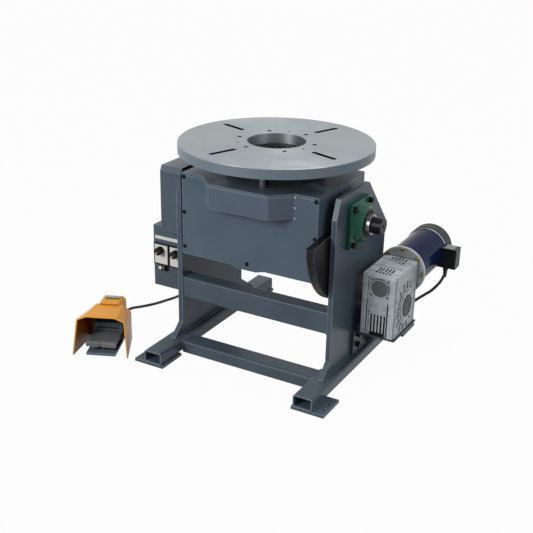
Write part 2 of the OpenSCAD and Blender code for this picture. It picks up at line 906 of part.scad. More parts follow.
motor_y0 = box_y1 + motor_flange_t;
motor_y1 = motor_y0 + motor_len;
motor_y2 = motor_y1 + cowl_len;
motor_wall = 6;
rotor_d = 84;
rotor_gap = 22;
rotor_y0 = motor_y0 + rotor_gap;
rotor_y1 = motor_y1 - rotor_gap;
rear_journal_d = 20;
cowl_wall = 2.5;
end_wall = 10;
fan_d = 116;
fan_t = 14;
fan_gap = 7;
fan_y1 = motor_y1 + fan_gap + fan_t;
cowl_slot_n = 24;
cowl_slot_w = 5;
cowl_slot_r0 = 29;
cowl_slot_len = 30;

module motor_flange() {
  color("lightgray")
    difference() {
      y_rod(box_y1, motor_y0, motor_flange_d, box_x, worm_z);
      y_rod(box_y1 - over, motor_y0 + over, worm_room_d, box_x, worm_z);
      flange_screws()
        translate([0, 0, -motor_flange_t - over])
          cylinder(h = motor_flange_t + 2 * over, d = motor_screw_d);
    }
}

module motor_shell() {
  color("midnightblue")
    difference() {
      y_rod(motor_y0, motor_y1, motor_d, box_x, worm_z);
      y_rod(motor_y0 - over, motor_y1 - end_wall, motor_d - 2 * motor_wall, box_x, worm_z);
      y_rod(motor_y0, motor_y1 + over, rear_journal_d + 2 * run_fit, box_x, worm_z);
    }
}

module motor_rotor() {
  // armature, rear journal and cooling fan on one shaft
  color("darkgray") {
    y_rod(rotor_y0, rotor_y1, rotor_d, box_x, worm_z);
    y_rod(rotor_y1, fan_y1, rear_journal_d, box_x, worm_z);
    y_rod(fan_y1 - fan_t, fan_y1, fan_d, box_x, worm_z);
  }
}

module motor_cowl() {
  color("dimgray")
    difference() {
      y_rod(motor_y1, motor_y2, cowl_d, box_x, worm_z);
      y_rod(motor_y1 - over, motor_y1 + cowl_wall + over, motor_d - 4 * motor_wall, box_x, worm_z);
      y_rod(motor_y1 + cowl_wall, motor_y2 - cowl_wall, cowl_d - 2 * cowl_wall, box_x, worm_z);
      for (i = [0:cowl_slot_n - 1])
        translate([box_x, motor_y2, worm_z])
          rotate([0, i * 360 / cowl_slot_n, 0])
            translate([cowl_slot_r0, -cowl_wall - over, -cowl_slot_w / 2])
              cube([cowl_slot_len, cowl_wall + 2 * over, cowl_slot_w]);
    }
}

term_drop = 4;
term_set = 2;
term_lid_t = 8;
term_y1 = motor_y1 - term_set;
term_y0 = term_y1 - term_len;
term_z1 = worm_z + term_h / 2 - term_drop;
term_z0 = term_z1 - term_h;
term_x1 = box_x + motor_d / 2 + term_w - term_lid_t;

module terminal_box() {
  color("black")
    difference() {
      block([box_x, term_x1 - term_lid_t], [term_y0, term_y1], [term_z0, term_z1]);
      y_rod(term_y0 - over, term_y1 + over, motor_d, box_x, worm_z);
      block([box_x + motor_d / 2 + cowl_wall, term_x1], [term_y0 + cowl_wall, term_y1 - cowl_wall],
        [term_z0 + cowl_wall, term_z1 - cowl_wall]);
      z_rod(term_z0 - over, term_z0 + cowl_wall + over, gland_d, gland_x, gland_y);
    }
}

module terminal_lid() {
  color("dimgray")
    block([term_x1 - term_lid_t, term_x1], [term_y0, term_y1], [term_z0, term_z1]);
}

// Motor cable: from the gland under the terminal box down to the entry in the runner

gland_d = 16;
gland_len = 14;
gland_nut_d = 22;
gland_bore_d = 7.5;
gland_out = 11.5;
cord_lead = 15;
gland_x = box_x + motor_d / 2 + gland_out;
gland_y = (term_y0 + term_y1) / 2;
entry_h = 10;
entry_out = 12;
entry_back = 64;
entry_x = outer_x + entry_out;
entry_y = tilt_y + upright_back + entry_back;
cable_start = [gland_x, gland_y, term_z0 - gland_len];
cable_finish = [entry_x, entry_y, runner_top + entry_h];
motor_cable_route = [
  cable_start, cable_start - [0, 0, cord_lead], [437, 323, 222], [431, 317, 206], [421, 312, 190],
  [404, 306, 169], [386, 303, 153], [367, 303, 136], [348, 301, 119], [325, 290, 104],
  [303, 268, 95], [290, 248, 86], cable_finish + [0, 0, cord_lead], cable_finish
];

module motor_cable() {
  color("black")
    swept(smooth(motor_cable_route), motor_cable_d, 8, [1, 0, 0]);
}

module gland(top, nut_h) {
  // a gland that points down with its nut under the plane Z = 0 and its thread through the wall
  thread_share = 0.8;
  difference() {
    union() {
      translate([0, 0, -nut_h])
        cylinder(h = nut_h, d = gland_nut_d, $fn = 6);
      translate([0, 0, -gland_len])
        cylinder(h = gland_len, d = gland_nut_d * thread_share);
      cylinder(h = top, d = gland_d);
    }
    translate([0, 0, -gland_len - over])
      cylinder(h = gland_len, d = gland_bore_d);
  }
}

module cable_glands() {
  color("black") {
    translate([gland_x, gland_y, term_z0])
      gland(cowl_wall, gland_len / 2);
    for (x = [foot_gland_x, mains_gland_x])
      translate([x, foot_gland_y, ctrl_z0])
        gland(sheet_t, gland_len / 2);
    difference() {
      union() {
        z_rod(runner_top, runner_top + entry_h, gland_nut_d, entry_x, entry_y);
        z_rod(runner_top - tube_wall, runner_top, gland_d, entry_x, entry_y);
      }
      z_rod(runner_top - tube_wall - over, runner_top + entry_h + over, gland_bore_d, entry_x, entry_y);
    }
    on_foot()
      translate([0, guard_len, foot_gland_z])
        rotate([90, 0, 0])
          gland(2 * guard_wall, gland_len / 2);
  }
}

// Bearing cover and control box on the left upright

cover_x0 = -outer_x - cover_box_w;
cover_y0 = tilt_y - upright_front;
cover_y1 = tilt_y + cover_box_back;
cover_z0 = tilt_h - cover_box_drop;
cover_z1 = tilt_h + cover_box_rise;
cover_lap = 3;

module cover_solid(t) {
  // the outer form of the cover, drawn in by t on its free sides, seen along the tilt axis
  translate([cover_x0 + t, 0, 0])
    rotate([90, 0, 90])
      linear_extrude(cover_box_w + upright_t - t)
        polygon([
          [cover_y0 + t, cover_z0 + t], [cover_y0 + t, cover_z1 - cover_box_cut],
          [cover_y0 + t + cover_box_cut / 2, cover_z1 - t], [cover_y1 - t, cover_z1 - t],
          [cover_y1 - t, cover_z0 + t]
        ]);
}

module bearing_cover() {
  color("slategray")
    difference() {
      cover_solid(0);
      difference() {
        cover_solid(sheet_t);
        block([-outer_x, -inner_x + over], [cover_y1 - sheet_t * 2, cover_y1], [cover_z0, cover_z1]);
      }
      translate([-outer_x, 0, 0])
        upright_plate(soft_gap);
      block([-outer_x, -inner_x + over], [cover_y0 - over, cover_y1 + over],
        [cover_z0 - over, tilt_h + upright_rise - rear_cut_h]);
      block([cover_x0 - over, -outer_x + over], [tilt_y - ctrl_front, cover_y1 + over],
        [cover_z0 - over, ctrl_z1]);
    }
}

ctrl_x0 = -outer_x - ctrl_w;
ctrl_y0 = tilt_y - ctrl_front;
ctrl_y1 = tilt_y + ctrl_back;
ctrl_z0 = tilt_h - ctrl_bottom;
ctrl_z1 = tilt_h - ctrl_top;
panel_t = 3;
foot_gland_in = 64;
gland_gap = 34;
gland_back = 20;
foot_gland_x = -outer_x - foot_gland_in;
mains_gland_x = foot_gland_x - gland_gap;
foot_gland_y = tilt_y + gland_back;

module control_box() {
  color("slategray")
    difference() {
      block([ctrl_x0, -outer_x], [ctrl_y0 + panel_t, ctrl_y1], [ctrl_z0, ctrl_z1]);
      block([ctrl_x0 + sheet_t, -outer_x - sheet_t], [ctrl_y0 - over, ctrl_y1 - sheet_t],
        [ctrl_z0 + sheet_t, ctrl_z1 - sheet_t]);
      for (x = [foot_gland_x, mains_gland_x])
        z_rod(ctrl_z0 - over, ctrl_z0 + sheet_t + over, gland_d, x, foot_gland_y);
    }
}

// Front panel with two speed modules, a selector and a push button

module_w = 58;
module_h = 74;
module_gap = 3;
module_t = 6;
module_drop = 60;
module_z1 = ctrl_z1 - module_drop;
plate_w = 51;
plate_h = 66;
plate_t = 1.2;
label_w = 112;
label_h = 11;
label_drop = 46;
label_z = ctrl_z1 - label_drop;
bezel_d = 20.6;
bezel_t = 4;
bezel_gap = 21;
small_drop = 145;
small_in = 27;
small_z = ctrl_z1 - small_drop;
small_x = ctrl_x0 + small_in;
panel_hole_d = 16;
button_travel = 3;
module_x = [for (i = [0, 1]) ctrl_x0 + module_gap + module_w / 2 + i * (module_w + module_gap)];
dial_hole_d = 7;
dial_drop = 82;
dial_z = ctrl_z1 - dial_drop;
plate_z = module_z1 - module_h / 2;

module control_panel() {
  color("slategray")
    difference() {
      block([ctrl_x0, -outer_x], [ctrl_y0, ctrl_y0 + panel_t], [ctrl_z0, ctrl_z1]);
      for (i = [0, 1])
        y_rod(ctrl_y0 - over, ctrl_y0 + panel_t + over, panel_hole_d, small_x + i * bezel_gap, small_z);
      for (x = module_x)
        y_rod(ctrl_y0 - over, ctrl_y0 + panel_t + over, dial_hole_d, x, dial_z);
    }
}

module speed_modules() {
  color("black")
    for (x = module_x)
      difference() {
        block([x - module_w / 2, x + module_w / 2], [ctrl_y0 - module_t, ctrl_y0],
          [module_z1 - module_h, module_z1]);
        block([x - plate_w / 2, x + plate_w / 2], [ctrl_y0 - module_t - over, ctrl_y0 - module_t + plate_t],
          [plate_z - plate_h / 2, plate_z + plate_h / 2]);
        y_rod(ctrl_y0 - module_t, ctrl_y0 + over, dial_hole_d, x, dial_z);
      }
}

module scale_plates() {
  color("white") {
    for (x = module_x)
      difference() {
        block([x - plate_w / 2, x + plate_w / 2], [ctrl_y0 - module_t, ctrl_y0 - module_t + plate_t],
          [plate_z - plate_h / 2, plate_z + plate_h / 2]);
        y_rod(ctrl_y0 - module_t - over, ctrl_y0, dial_hole_d, x, dial_z);
      }
    block([ctrl_x0 + (ctrl_w - label_w) / 2, ctrl_x0 + (ctrl_w + label_w) / 2],
      [ctrl_y0 - plate_t, ctrl_y0], [label_z, label_z + label_h]);
  }
}

module switch_bezels() {
  color("black")
    for (i = [0, 1])
      difference() {
        union() {
          y_rod(ctrl_y0 - bezel_t, ctrl_y0, bezel_d, small_x + i * bezel_gap, small_z);
          y_rod(ctrl_y0, ctrl_y0 + panel_t + bezel_t, panel_hole_d, small_x + i * bezel_gap, small_z);
        }
        y_rod(ctrl_y0 - bezel_t - over, ctrl_y0 + panel_t, button_d + 2 * run_fit,
          small_x + i * bezel_gap, small_z);
      }
}

dial_grip_n = 18;
dial_stem_d = 6;

module dial_shape(x) {
  // a knob with a fluted grip and a white pointer line along its cap
  y0 = ctrl_y0 - module_t - soft_gap;
  difference() {
    union() {
      y_rod(y0 - dial_h, y0, dial_d, x, dial_z);
      y_rod(y0, ctrl_y0 + panel_t, dial_stem_d, x, dial_z);
    }
    for (i = [0:dial_grip_n - 1])
      translate([x, 0, dial_z])
        rotate([0, i * 360 / dial_grip_n, 0])
          y_rod(y0 - dial_h - over, y0 - dial_h / 4, dial_flute_d, dial_d / 2, 0);
    translate([x, y0 - dial_h - over, dial_z])
      rotate([0, dial_rest, 0])
        translate([0, 0, -dial_line_w / 2])
          cube([dial_d / 2 + over, over + dial_line_t, dial_line_w]);
  }
}

dial_rest = 150;
dial_flute_d = 2.2;
dial_line_w = 1.4;
dial_line_t = 1;

module left_dial() {
  color("black")
    dial_shape(module_x[0]);
}

module right_dial() {
  color("black")
    dial_shape(module_x[1]);
}

module selector() {
  // a round body with a raised grip bar
  x = small_x + bezel_gap;
  y1 = ctrl_y0 - bezel_t;
  color("black")
    union() {
      y_rod(y1, ctrl_y0 + panel_t - soft_gap, button_d, x, small_z);
      intersection() {
        y_rod(y1 - grip_h, y1 + over, button_d, x, small_z);
        translate([x, y1 - grip_h, small_z])
          rotate([0, selector_rest, 0])
            translate([-button_d / 2, 0, -grip_w / 2])
              cube([button_d, grip_h + over, grip_w]);
      }
    }
}

grip_h = 8;
grip_w = 5;

selector_rest = 60;

module push_button() {
  color("whitesmoke")
    y_rod(ctrl_y0 - bezel_t - button_travel, ctrl_y0 + panel_t - button_travel - soft_gap, button_d,
      small_x, small_z);
}

// Tilting body: an open-fronted sheet steel box hung between the trunnions

housing_lip = 20;
shaft_flange_d = 110;
shaft_flange_t = 12;
screw_in_x = 7;
screw_in_z = 12.5;
screw_rise = 25;
screw_top = body_rise - screw_in_z;
screw_low = body_drop - screw_in_z;
screw_pitch = (screw_top + body_drop - screw_rise) / 2;
spacer_d = 70;

module tilt_housing() {
  color("slategray")
    difference() {
      block([-body_x, body_x], [cover_y + cover_t, tilt_y + body_back], [body_bottom, body_top - top_t]);
      difference() {
        block([-body_x + body_wall, body_x - body_wall],
          [cover_y, tilt_y + body_back - body_wall],
          [body_bottom + body_wall, body_top]);
        // inward lips that the cover screws into
        for (side = [-1, 1])
          block([min(side * body_x, side * (body_x - housing_lip)),
              max(side * body_x, side * (body_x - housing_lip))],
            [cover_y, cover_y + cover_t + body_wall], [body_bottom, body_top]);
        block([-body_x, body_x], [cover_y, cover_y + cover_t + body_wall],
          [body_bottom, body_bottom + housing_lip]);
      }
      x_rod(-body_x - over, body_x + over, shaft_d, tilt_y, tilt_h);
      sector_bolts(-body_wall - over, over);
      for (p = cover_screw_places)
        y_rod(cover_y, cover_y + cover_t + body_wall + over, cover_screw_d, p[0], p[1]);
    }
}

hood_y = cover_y - hood_out;
top_outline = [
  [-body_x, tilt_y + body_back], [-body_x, cover_y], [-hood_w, cover_y], [-hood_nose_w, hood_y],
  [hood_nose_w, hood_y], [hood_w, cover_y], [body_x, cover_y], [body_x, tilt_y + body_back]
];

module top_plate() {
  // covers the body and the hood, and carries the slewing ring
  color("slategray")
    difference() {
      translate([0, 0, body_top - top_t])
        linear_extrude(top_t)
          polygon(top_outline);
      z_rod(body_top - top_t - over, body_top + over, spindle_d + 2 * slew_gap, 0, tilt_y);
    }
}

cover_screw_places = concat(
  [for (sx = [-1, 1], i = [0:2]) [sx * (body_x - screw_in_x), tilt_h + screw_top - i * screw_pitch]],
  [[0, tilt_h - screw_low]]
);

module front_cover() {
  z1 = body_top - top_t;
  color("slategray")
    difference() {
      translate([0, cover_y + cover_t, 0])
        rotate([90, 0, 0])
          linear_extrude(cover_t)
            polygon([
              [-body_x, z1], [-body_x, body_bottom], [-tab_w, body_bottom],
              [-tab_w / 2, body_bottom - tab_h], [tab_w / 2, body_bottom - tab_h],
              [tab_w, body_bottom], [body_x, body_bottom], [body_x, z1]
            ]);
      // opening behind the hood
      block([-hood_nose_w, hood_nose_w], [cover_y - over, cover_y + cover_t + over],
        [body_top - hood_h + cover_t, body_top]);
      for (p = cover_screw_places)
        y_rod(cover_y - over, cover_y + cover_t + over, cover_screw_d, p[0], p[1]);
    }
}

module hood() {
  // three bent faces and a floor, closed above by the top plate
  z0 = body_top - hood_h;
  z1 = body_top - top_t;
  t = cover_t;
  color("slategray")
    difference() {
      translate([0, 0, z0])
        linear_extrude(z1 - z0)
          polygon([[-hood_w, cover_y], [-hood_nose_w, hood_y], [hood_nose_w, hood_y], [hood_w, cover_y]]);
      translate([0, 0, z0 + t])
        linear_extrude(hood_h)
          polygon([[-hood_w + 2 * t, cover_y + over], [-hood_w + 2 * t, cover_y],
            [-hood_nose_w + t / 2, hood_y + t], [hood_nose_w - t / 2, hood_y + t],
            [hood_w - 2 * t, cover_y], [hood_w - 2 * t, cover_y + over]]);
    }
}

module body_screws() {
  color("dimgray") {
    for (p = cover_screw_places)
      translate([p[0], cover_y, p[1]])
        rotate([90, 0, 0])
          button_screw(cover_screw_d, cover_t + body_wall);
    sector_bolts(-body_wall, sector_t);
  }
}

sector_bolt_n = 6;
sector_bolt_r = 62;
sector_bolt_d = 12;

module sector_bolts(x0, x1) {
  // the bolts that hold the sector gear on the body, flush with its outer face
  for (i = [0:sector_bolt_n - 1])
    x_rod(body_x + x0, body_x + x1, sector_bolt_d, tilt_y + sector_bolt_r * cos(i * 360 / sector_bolt_n),
      tilt_h + sector_bolt_r * sin(i * 360 / sector_bolt_n));
}

module trunnions() {
  // left and right stub shafts with flanges inside the body
  color("silver") {
    difference() {
      union() {
        x_rod(body_x - body_wall - shaft_flange_t, shaft_end, shaft_d, tilt_y, tilt_h);
        x_rod(body_x - body_wall - shaft_flange_t, body_x - body_wall, shaft_flange_d, tilt_y, tilt_h);
      }
      x_rod(shaft_end - shaft_t_hole, shaft_end + over, shaft_t_hole, tilt_y, tilt_h);
    }
    union() {
      x_rod(-outer_x - ring_h, -body_x + body_wall + shaft_flange_t, shaft_d, tilt_y, tilt_h);
      x_rod(-body_x + body_wall, -body_x + body_wall + shaft_flange_t, shaft_flange_d, tilt_y, tilt_h);
      x_rod(-inner_x + slew_gap, -body_x, spacer_d, tilt_y, tilt_h);
    }
  }
}

shaft_t_hole = 10;
set_screw_d = 6;

module inner_rings() {
  // the hardened rings that grip the trunnions, with their set screw holes
  color("silver")
    for (side = [-1, 1])
      on_side(side)
        difference() {
          translate([0, 0, flange_t / 4])
            cylinder(h = ring_h - flange_t / 4, d = ring_d);
          translate([0, 0, -over])
            cylinder(h = ring_h + 2 * over, d = shaft_d);
          for (a = [45, 135])
            translate([0, 0, ring_h - set_screw_d])
              rotate([0, 0, a + 90])
                rotate([90, 0, 0])
                  cylinder(h = ring_d, d = set_screw_d);
        }
}

// Sector gear: a plate on the drive side of the body, with teeth below and in front

function sector_outline() =
  let (
    i0 = ceil((180 + sector_start - mesh_full) * sector_n / 360),
    i1 = floor((180 + sector_start + sector_span - mesh_full) * sector_n / 360)
  )
  concat(
    [[0, 0]],
    [for (i = [i0:i1]) each tooth(mesh_full + i * 360 / sector_n, sector_r, sector_n, tilt_module)]
  );
mesh_full = 360 + mesh_angle;

module sector_gear() {
  color("dimgray")
    difference() {
      translate([body_x, tilt_y, tilt_h])
        rotate([90, 0, 90])
          linear_extrude(sector_t)
            union() {
              polygon(sector_outline());
              circle(d = sector_hub_d);
            }
      x_rod(body_x - over, body_x + sector_t + over, shaft_d, tilt_y, tilt_h);
      sector_bolts(-over, sector_t + over);
    }
}

// Slewing ring, spindle and ring gear under the table

ring_gear_r = spin_module * spin_gear_n / 2;
pinion_r = spin_module * spin_pinion_n / 2;
gear_z1 = body_top - top_t - spin_gear_gap;
gear_z0 = gear_z1 - spin_gear_t;
pinion_y = tilt_y - ring_gear_r - pinion_r;
pinion_shaft_d = 14;

module slew_ring() {
  color("gray")
    difference() {
      z_rod(body_top, body_top + slew_h, slew_d, 0, tilt_y);
      z_rod(body_top - over, body_top + slew_h + over, spindle_d + 2 * run_fit, 0, tilt_y);
    }
}

module table_hub() {
  // the flange under the table and the hollow spindle that hangs from it
  color("silver")
    difference() {
      union() {
        z_rod(body_top + slew_h + slew_gap, table_base, hub_d, 0, tilt_y);
        z_rod(gear_z0, table_base, spindle_d, 0, tilt_y);
      }
      z_rod(gear_z0 - over, table_base + over, table_bore, 0, tilt_y);
      hub_bolts()
        cylinder(h = hub_bolt_len + over, d = hub_bolt_d);
    }
}

hub_bolt_d = 12;
hub_bolt_len = 20;
hub_bolt_r = 132;
hub_bolt_n = 6;

module hub_bolts() {
  // places of the screws that hold the table down on the hub, pointing up
  translate([0, tilt_y, table_base - hub_bolt_len])
    rotate([0, 0, table_turn])
      for (i = [0:hub_bolt_n - 1])
        rotate([0, 0, i * 360 / hub_bolt_n])
          translate([hub_bolt_r, 0, 0])
            children();
}

module table_bolts() {
  // screws from below, through the hub's flange into the table
  color("dimgray")
    hub_bolts()
      cylinder(h = hub_bolt_len + table_t / 2, d = hub_bolt_d);
}

module ring_gear() {
  color("dimgray")
    difference() {
      translate([0, tilt_y, gear_z0])
        linear_extrude(spin_gear_t)
          gear_2d(spin_gear_n, spin_module, -90);
      z_rod(gear_z0 - over, gear_z1 + over, spindle_d, 0, tilt_y);
    }
}

module spin_pinion() {
  color("silver")
    union() {
      translate([0, pinion_y, gear_z0])
        linear_extrude(spin_gear_t)
          gear_2d(spin_pinion_n, spin_module, 90 + 180 / spin_pinion_n);
      z_rod(gear_z0 - head_gap - head_h / 2, gear_z0, pinion_shaft_d, 0, pinion_y);
    }
}

head_front = 37;
head_y0 = pinion_y - head_front;
head_y1 = head_y0 + head_w;
head_z1 = gear_z0 - head_gap;
head_z0 = head_z1 - head_h;
motor_clear = 2;
spin_motor_y = cover_y + cover_t + body_wall + spin_motor_d / 2 + motor_clear;
post_d = 14;
post_in = 8;
side_arm_t = 10;
side_arm_set = 16;
side_arm_w = 24;

module spin_motor() {
  // the sealed gearmotor: a gear head hung from the top plate by posts and arms, the motor below
  y0 = head_y0 + side_arm_set;
  color("gray")
    difference() {
      union() {
        block([-head_w / 2, head_w / 2], [head_y0, head_y1], [head_z0, head_z1]);
        z_rod(head_z0 - spin_motor_len, head_z0, spin_motor_d, 0, spin_motor_y);
        for (sx = [-1, 1])
          z_rod(head_z1, body_top - top_t, post_d, sx * (head_w / 2 - post_in), head_y0 + post_in);
        for (x = [-head_w / 2, head_w / 2])
          block([x - side_arm_t / 2, x + side_arm_t / 2], [y0, y0 + side_arm_w],
            [head_z0, body_top - top_t]);
      }
      z_rod(head_z0 + head_h / 3, head_z1 + over, pinion_shaft_d + 2 * run_fit, 0, pinion_y);
    }
}

brush_d = 20;
brush_r = 166;
brush_angle = -75;

module earth_brush() {
  // the sprung brush that earths the turning table to the body
  color("silver")
    translate([brush_r * cos(brush_angle), tilt_y + brush_r * sin(brush_angle), body_top])
      cylinder(h = table_base - body_top - soft_gap, d = brush_d);
}

// Table: a round plate with bore, tapped holes, locating holes and radial slots

table_edge = 2;

module slot_shape() {
  translate([0, 0, -over])
    linear_extrude(table_t + 2 * over)
      union() {
        translate([slot_r0 + slot_w / 2, -slot_w / 2])
          square([slot_r1 - slot_r0 - slot_w, slot_w]);
        for (r = [slot_r0 + slot_w / 2, slot_r1 - slot_w / 2])
          translate([r, 0])
            circle(d = slot_w);
      }
}

module table() {
  color("silver")
    translate([0, tilt_y, table_base])
      rotate([0, 0, table_turn])
        difference() {
          union() {
            cylinder(h = table_t - table_edge, d = table_d, $fn = 128);
            translate([0, 0, table_t - table_edge])
              cylinder(h = table_edge, d1 = table_d, d2 = table_d - 2 * table_edge, $fn = 128);
          }
          translate([0, 0, -over])
            cylinder(h = table_t + 2 * over, d = table_bore, $fn = 128);
          for (i = [0:tap_n - 1])
            rotate([0, 0, (i + 0.5) * 360 / tap_n])
              translate([tap_circle / 2, 0, -over])
                cylinder(h = table_t + 2 * over, d = tap_d);
          for (i = [0:2])
            rotate([0, 0, i * 120])
              translate([tap_circle / 2, 0, table_t / 2])
                cylinder(h = table_t, d = dowel_d);
          for (i = [0:slot_n - 1])
            rotate([0, 0, i * 360 / slot_n])
              slot_shape();
          for (i = [0:hub_bolt_n - 1])
            rotate([0, 0, i * 360 / hub_bolt_n])
              translate([hub_bolt_r, 0, -over])
                cylinder(h = table_t / 2 + over, d = hub_bolt_d);
        }
}

// Foot switch: a cast base with a hinged pedal under an orange guard, turned on the floor

foot_place = [-453, -391];
foot_turn = 23.5;
foot_gland_z = 24;
tip_out = 6;
roof_in = 23;
shoulder_w = 160;
roof_w = 104;
rear_w = 142;
rear_shoulder_h = 98;
rear_roof_w = 92;
neck_set = 10;
neck_w = 80;
neck_rise = 6;
neck_cut = 10;
base_plate_w = 97;
base_plate_t = 8;
casing_y = 104;
casing_h = 68;
casing_w = 96;
casing_neck_w = 64;
casing_neck_h = 60;
hinge_y = 113;
hinge_z = pedal_z + 4;
hinge_pin_d = 8;
hinge_boss_d = 16;
cheek_t = 10;
pedal_y0 = 4;
pedal_t = 8;
pedal_lip = 8;
notch_w = 18;

module on_foot() {
  translate([foot_place[0], foot_place[1], 0])
    rotate([0, 0, foot_turn])
      children();
}

// One end of a shell: floor corners, shoulders and roof corners, leaning back as they rise
function arch(y, lean, wf, ws, hs, wr, hr) = [
  for (p = [[-wf, 0], [-ws, hs], [-wr, hr], [wr, hr], [ws, hs], [wf, 0]])
    [p[0] / 2, y + lean * p[1], p[1]]
];

// The same end drawn in by the wall t, moved by dy, and carried past the floor by the overrun
function inside(a, t, dy) = [
  for (p = a)
    [p[0] - sign(p[0]) * t, p[1] + dy, p[2] == 0 ? -over : p[2] - t * (p[2] == a[2][2] ? 1 : wall_share)]
];

module shell_between(a, b) {
  // a closed solid between two ends of six corners, in triangles
  n = 6;
  polyhedron(
    points = concat(a, b),
    faces = concat(
      [for (k = [1:n - 2]) [0, k, k + 1]],
      [for (k = [0:n - 1]) each [[k, n + k, (k + 1) % n], [(k + 1) % n, n + k, n + (k + 1) % n]]],
      [for (k = [1:n - 2]) [n, n + k + 1, n + k]]
    )
  );
}

wall_share = 0.6;
neck_y = guard_d - neck_set;
neck_top = guard_rear_h + neck_rise;
neck_roof_w = neck_w - 2 * neck_cut;
guard_front = arch(-tip_out, roof_in / guard_h, guard_w, shoulder_w, guard_shoulder_h, roof_w, guard_h);
guard_back = arch(guard_d, 0, rear_w, rear_w, rear_shoulder_h, rear_roof_w, guard_rear_h);
neck_front = arch(neck_y, 0, neck_w, neck_w, neck_top - neck_cut, neck_roof_w, neck_top);
neck_back = arch(guard_len, 0, neck_w, neck_w, neck_top - neck_cut, neck_roof_w, neck_top);

module foot_guard() {
  // a cast hood over the pedal, and a narrower raised hood over the casing behind it
  t = guard_wall;
  color("orange")
    on_foot()
      difference() {
        union() {
          shell_between(guard_front, guard_back);
          shell_between(neck_front, neck_back);
        }
        shell_between(inside(guard_front, t, -over), inside(guard_back, t, -t));
        shell_between(inside(neck_front, t, t), inside(neck_back, t, -t));
        y_rod(guard_len - 2 * t, guard_len + over, gland_d, 0, foot_gland_z);
      }
}

module foot_base() {
  // floor plate and switch casing in one casting, with the hinge pin through the casing's cheeks
  inner = casing_w / 2 - cheek_t;
  neck_y1 = guard_len - guard_wall;
  color("darkgray")
    on_foot() {
      difference() {
        union() {
          block([-base_plate_w / 2, base_plate_w / 2], [0, casing_y], [0, base_plate_t]);
          block([-casing_w / 2, casing_w / 2], [casing_y, guard_d - 2 * guard_wall], [0, casing_h]);
          block([-casing_neck_w / 2, casing_neck_w / 2], [casing_y, neck_y1], [0, casing_neck_h]);
        }
        block([-inner, inner], [casing_y - over, hinge_y + hinge_boss_d / 2 + hole_slack],
          [base_plate_t, hinge_z + hinge_boss_d]);
        y_rod(neck_y1 - gland_len, neck_y1 + over, gland_d, 0, foot_gland_z);
      }
      x_rod(-casing_w / 2, casing_w / 2, hinge_pin_d, hinge_y, hinge_z);
    }
}

module foot_pedal() {
  // a cast plate with a notched front lip, and a tail that hangs on the hinge pin
  tail = casing_w / 2 - cheek_t - hole_slack;
  color("gainsboro")
    on_foot()
      difference() {
        union() {
          block([-pedal_w / 2, pedal_w / 2], [pedal_y0, pedal_y0 + pedal_len], [pedal_z, pedal_z + pedal_t]);
          block([-pedal_w / 2, pedal_w / 2], [pedal_y0, pedal_y0 + pedal_lip],
            [pedal_z - pedal_lip / 2, pedal_z + pedal_t + pedal_lip / 4]);
          block([-tail, tail], [pedal_y0 + pedal_len, hinge_y], [pedal_z, pedal_z + pedal_t]);
          x_rod(-tail, tail, hinge_boss_d, hinge_y, hinge_z);
        }
        x_rod(-pedal_w, pedal_w, hinge_pin_d + 2 * run_fit, hinge_y, hinge_z);
        block([-notch_w / 2, notch_w / 2], [pedal_y0 - over, pedal_y0 + pedal_lip / 2], [0, guard_h]);
      }
}

// Return spring: a coil that stands on the base under the pedal
spring_d = 20;
spring_wire = 2.4;
spring_turns = 5;
spring_y = 38;
spring_h = pedal_z - base_plate_t - spring_wire - soft_gap;
spring_path = [
  for (i = [0:8 * spring_turns])
    [spring_d / 2 * cos(i * 360 / 8), spring_d / 2 * sin(i * 360 / 8), spring_h * i / spring_turns / 8]
];
echo(spring_least_gap = least_gap(spring_path, spring_wire, 5));

module pedal_spring() {
  color("silver")
    on_foot()
      translate([0, spring_y, base_plate_t + spring_wire / 2])
        swept(spring_path, spring_wire, 6, [0, 0, 1]);
}

// Foot cable: out of the back of the switch, over the floor, a coil behind the frame, up to the box
foot_exit_d = guard_len + gland_len;
foot_dir = [-sin(foot_turn), cos(foot_turn), 0];
foot_exit = [foot_place[0], foot_place[1], foot_gland_z] + foot_exit_d * foot_dir;
floor_z = foot_cable_d / 2;
coil_place = [-428, 250];
coil_turns = 4.5;
coil_gap = 0.8;
coil_step = foot_cable_d + coil_gap;
coil_in = 45;
coil_out = coil_in + coil_step * coil_turns / 2;
coil_start = [coil_place[0] - coil_out, coil_place[1] - foot_cable_d, floor_z];
coil_end = [coil_place[0] + coil_out, coil_place[1] - foot_cable_d, floor_z + coil_step];
foot_route = [
  foot_exit, foot_exit + cord_lead * foot_dir, [-552, -163, 20], [-565, -132, 13], [-576, -104, 7],
  [-583, -80, floor_z], [-580, -56, floor_z], [-560, -27, floor_z], [-535, 14, floor_z], [-514, 68, floor_z],
  [-500, 112, floor_z], [-497, 160, floor_z], [-497, 195, floor_z], coil_start - [0, cord_lead, 0], coil_start
];

// Turns in to the middle on the floor, a climb where the spiral turns back, and turns out on top
function coil_radius(s) = coil_in + coil_step * abs(s - coil_turns / 2);
function coil_climb(s) = min(max(2 * s - coil_turns + 1 / 2, 0), 1);
function coil_point(s) =
  let (r = coil_radius(s), c = coil_climb(s))
  [coil_place[0] - r * cos(360 * s), coil_place[1] + r * sin(360 * s), floor_z + coil_step * c * c * (3 - 2 * c)];
foot_coil_path = concat(
  [coil_start], [for (i = [0:24 * coil_turns]) coil_point(i / 24)], [coil_end]
);
echo(coil_least_gap = least_gap(foot_coil_path, foot_cable_d, 12));

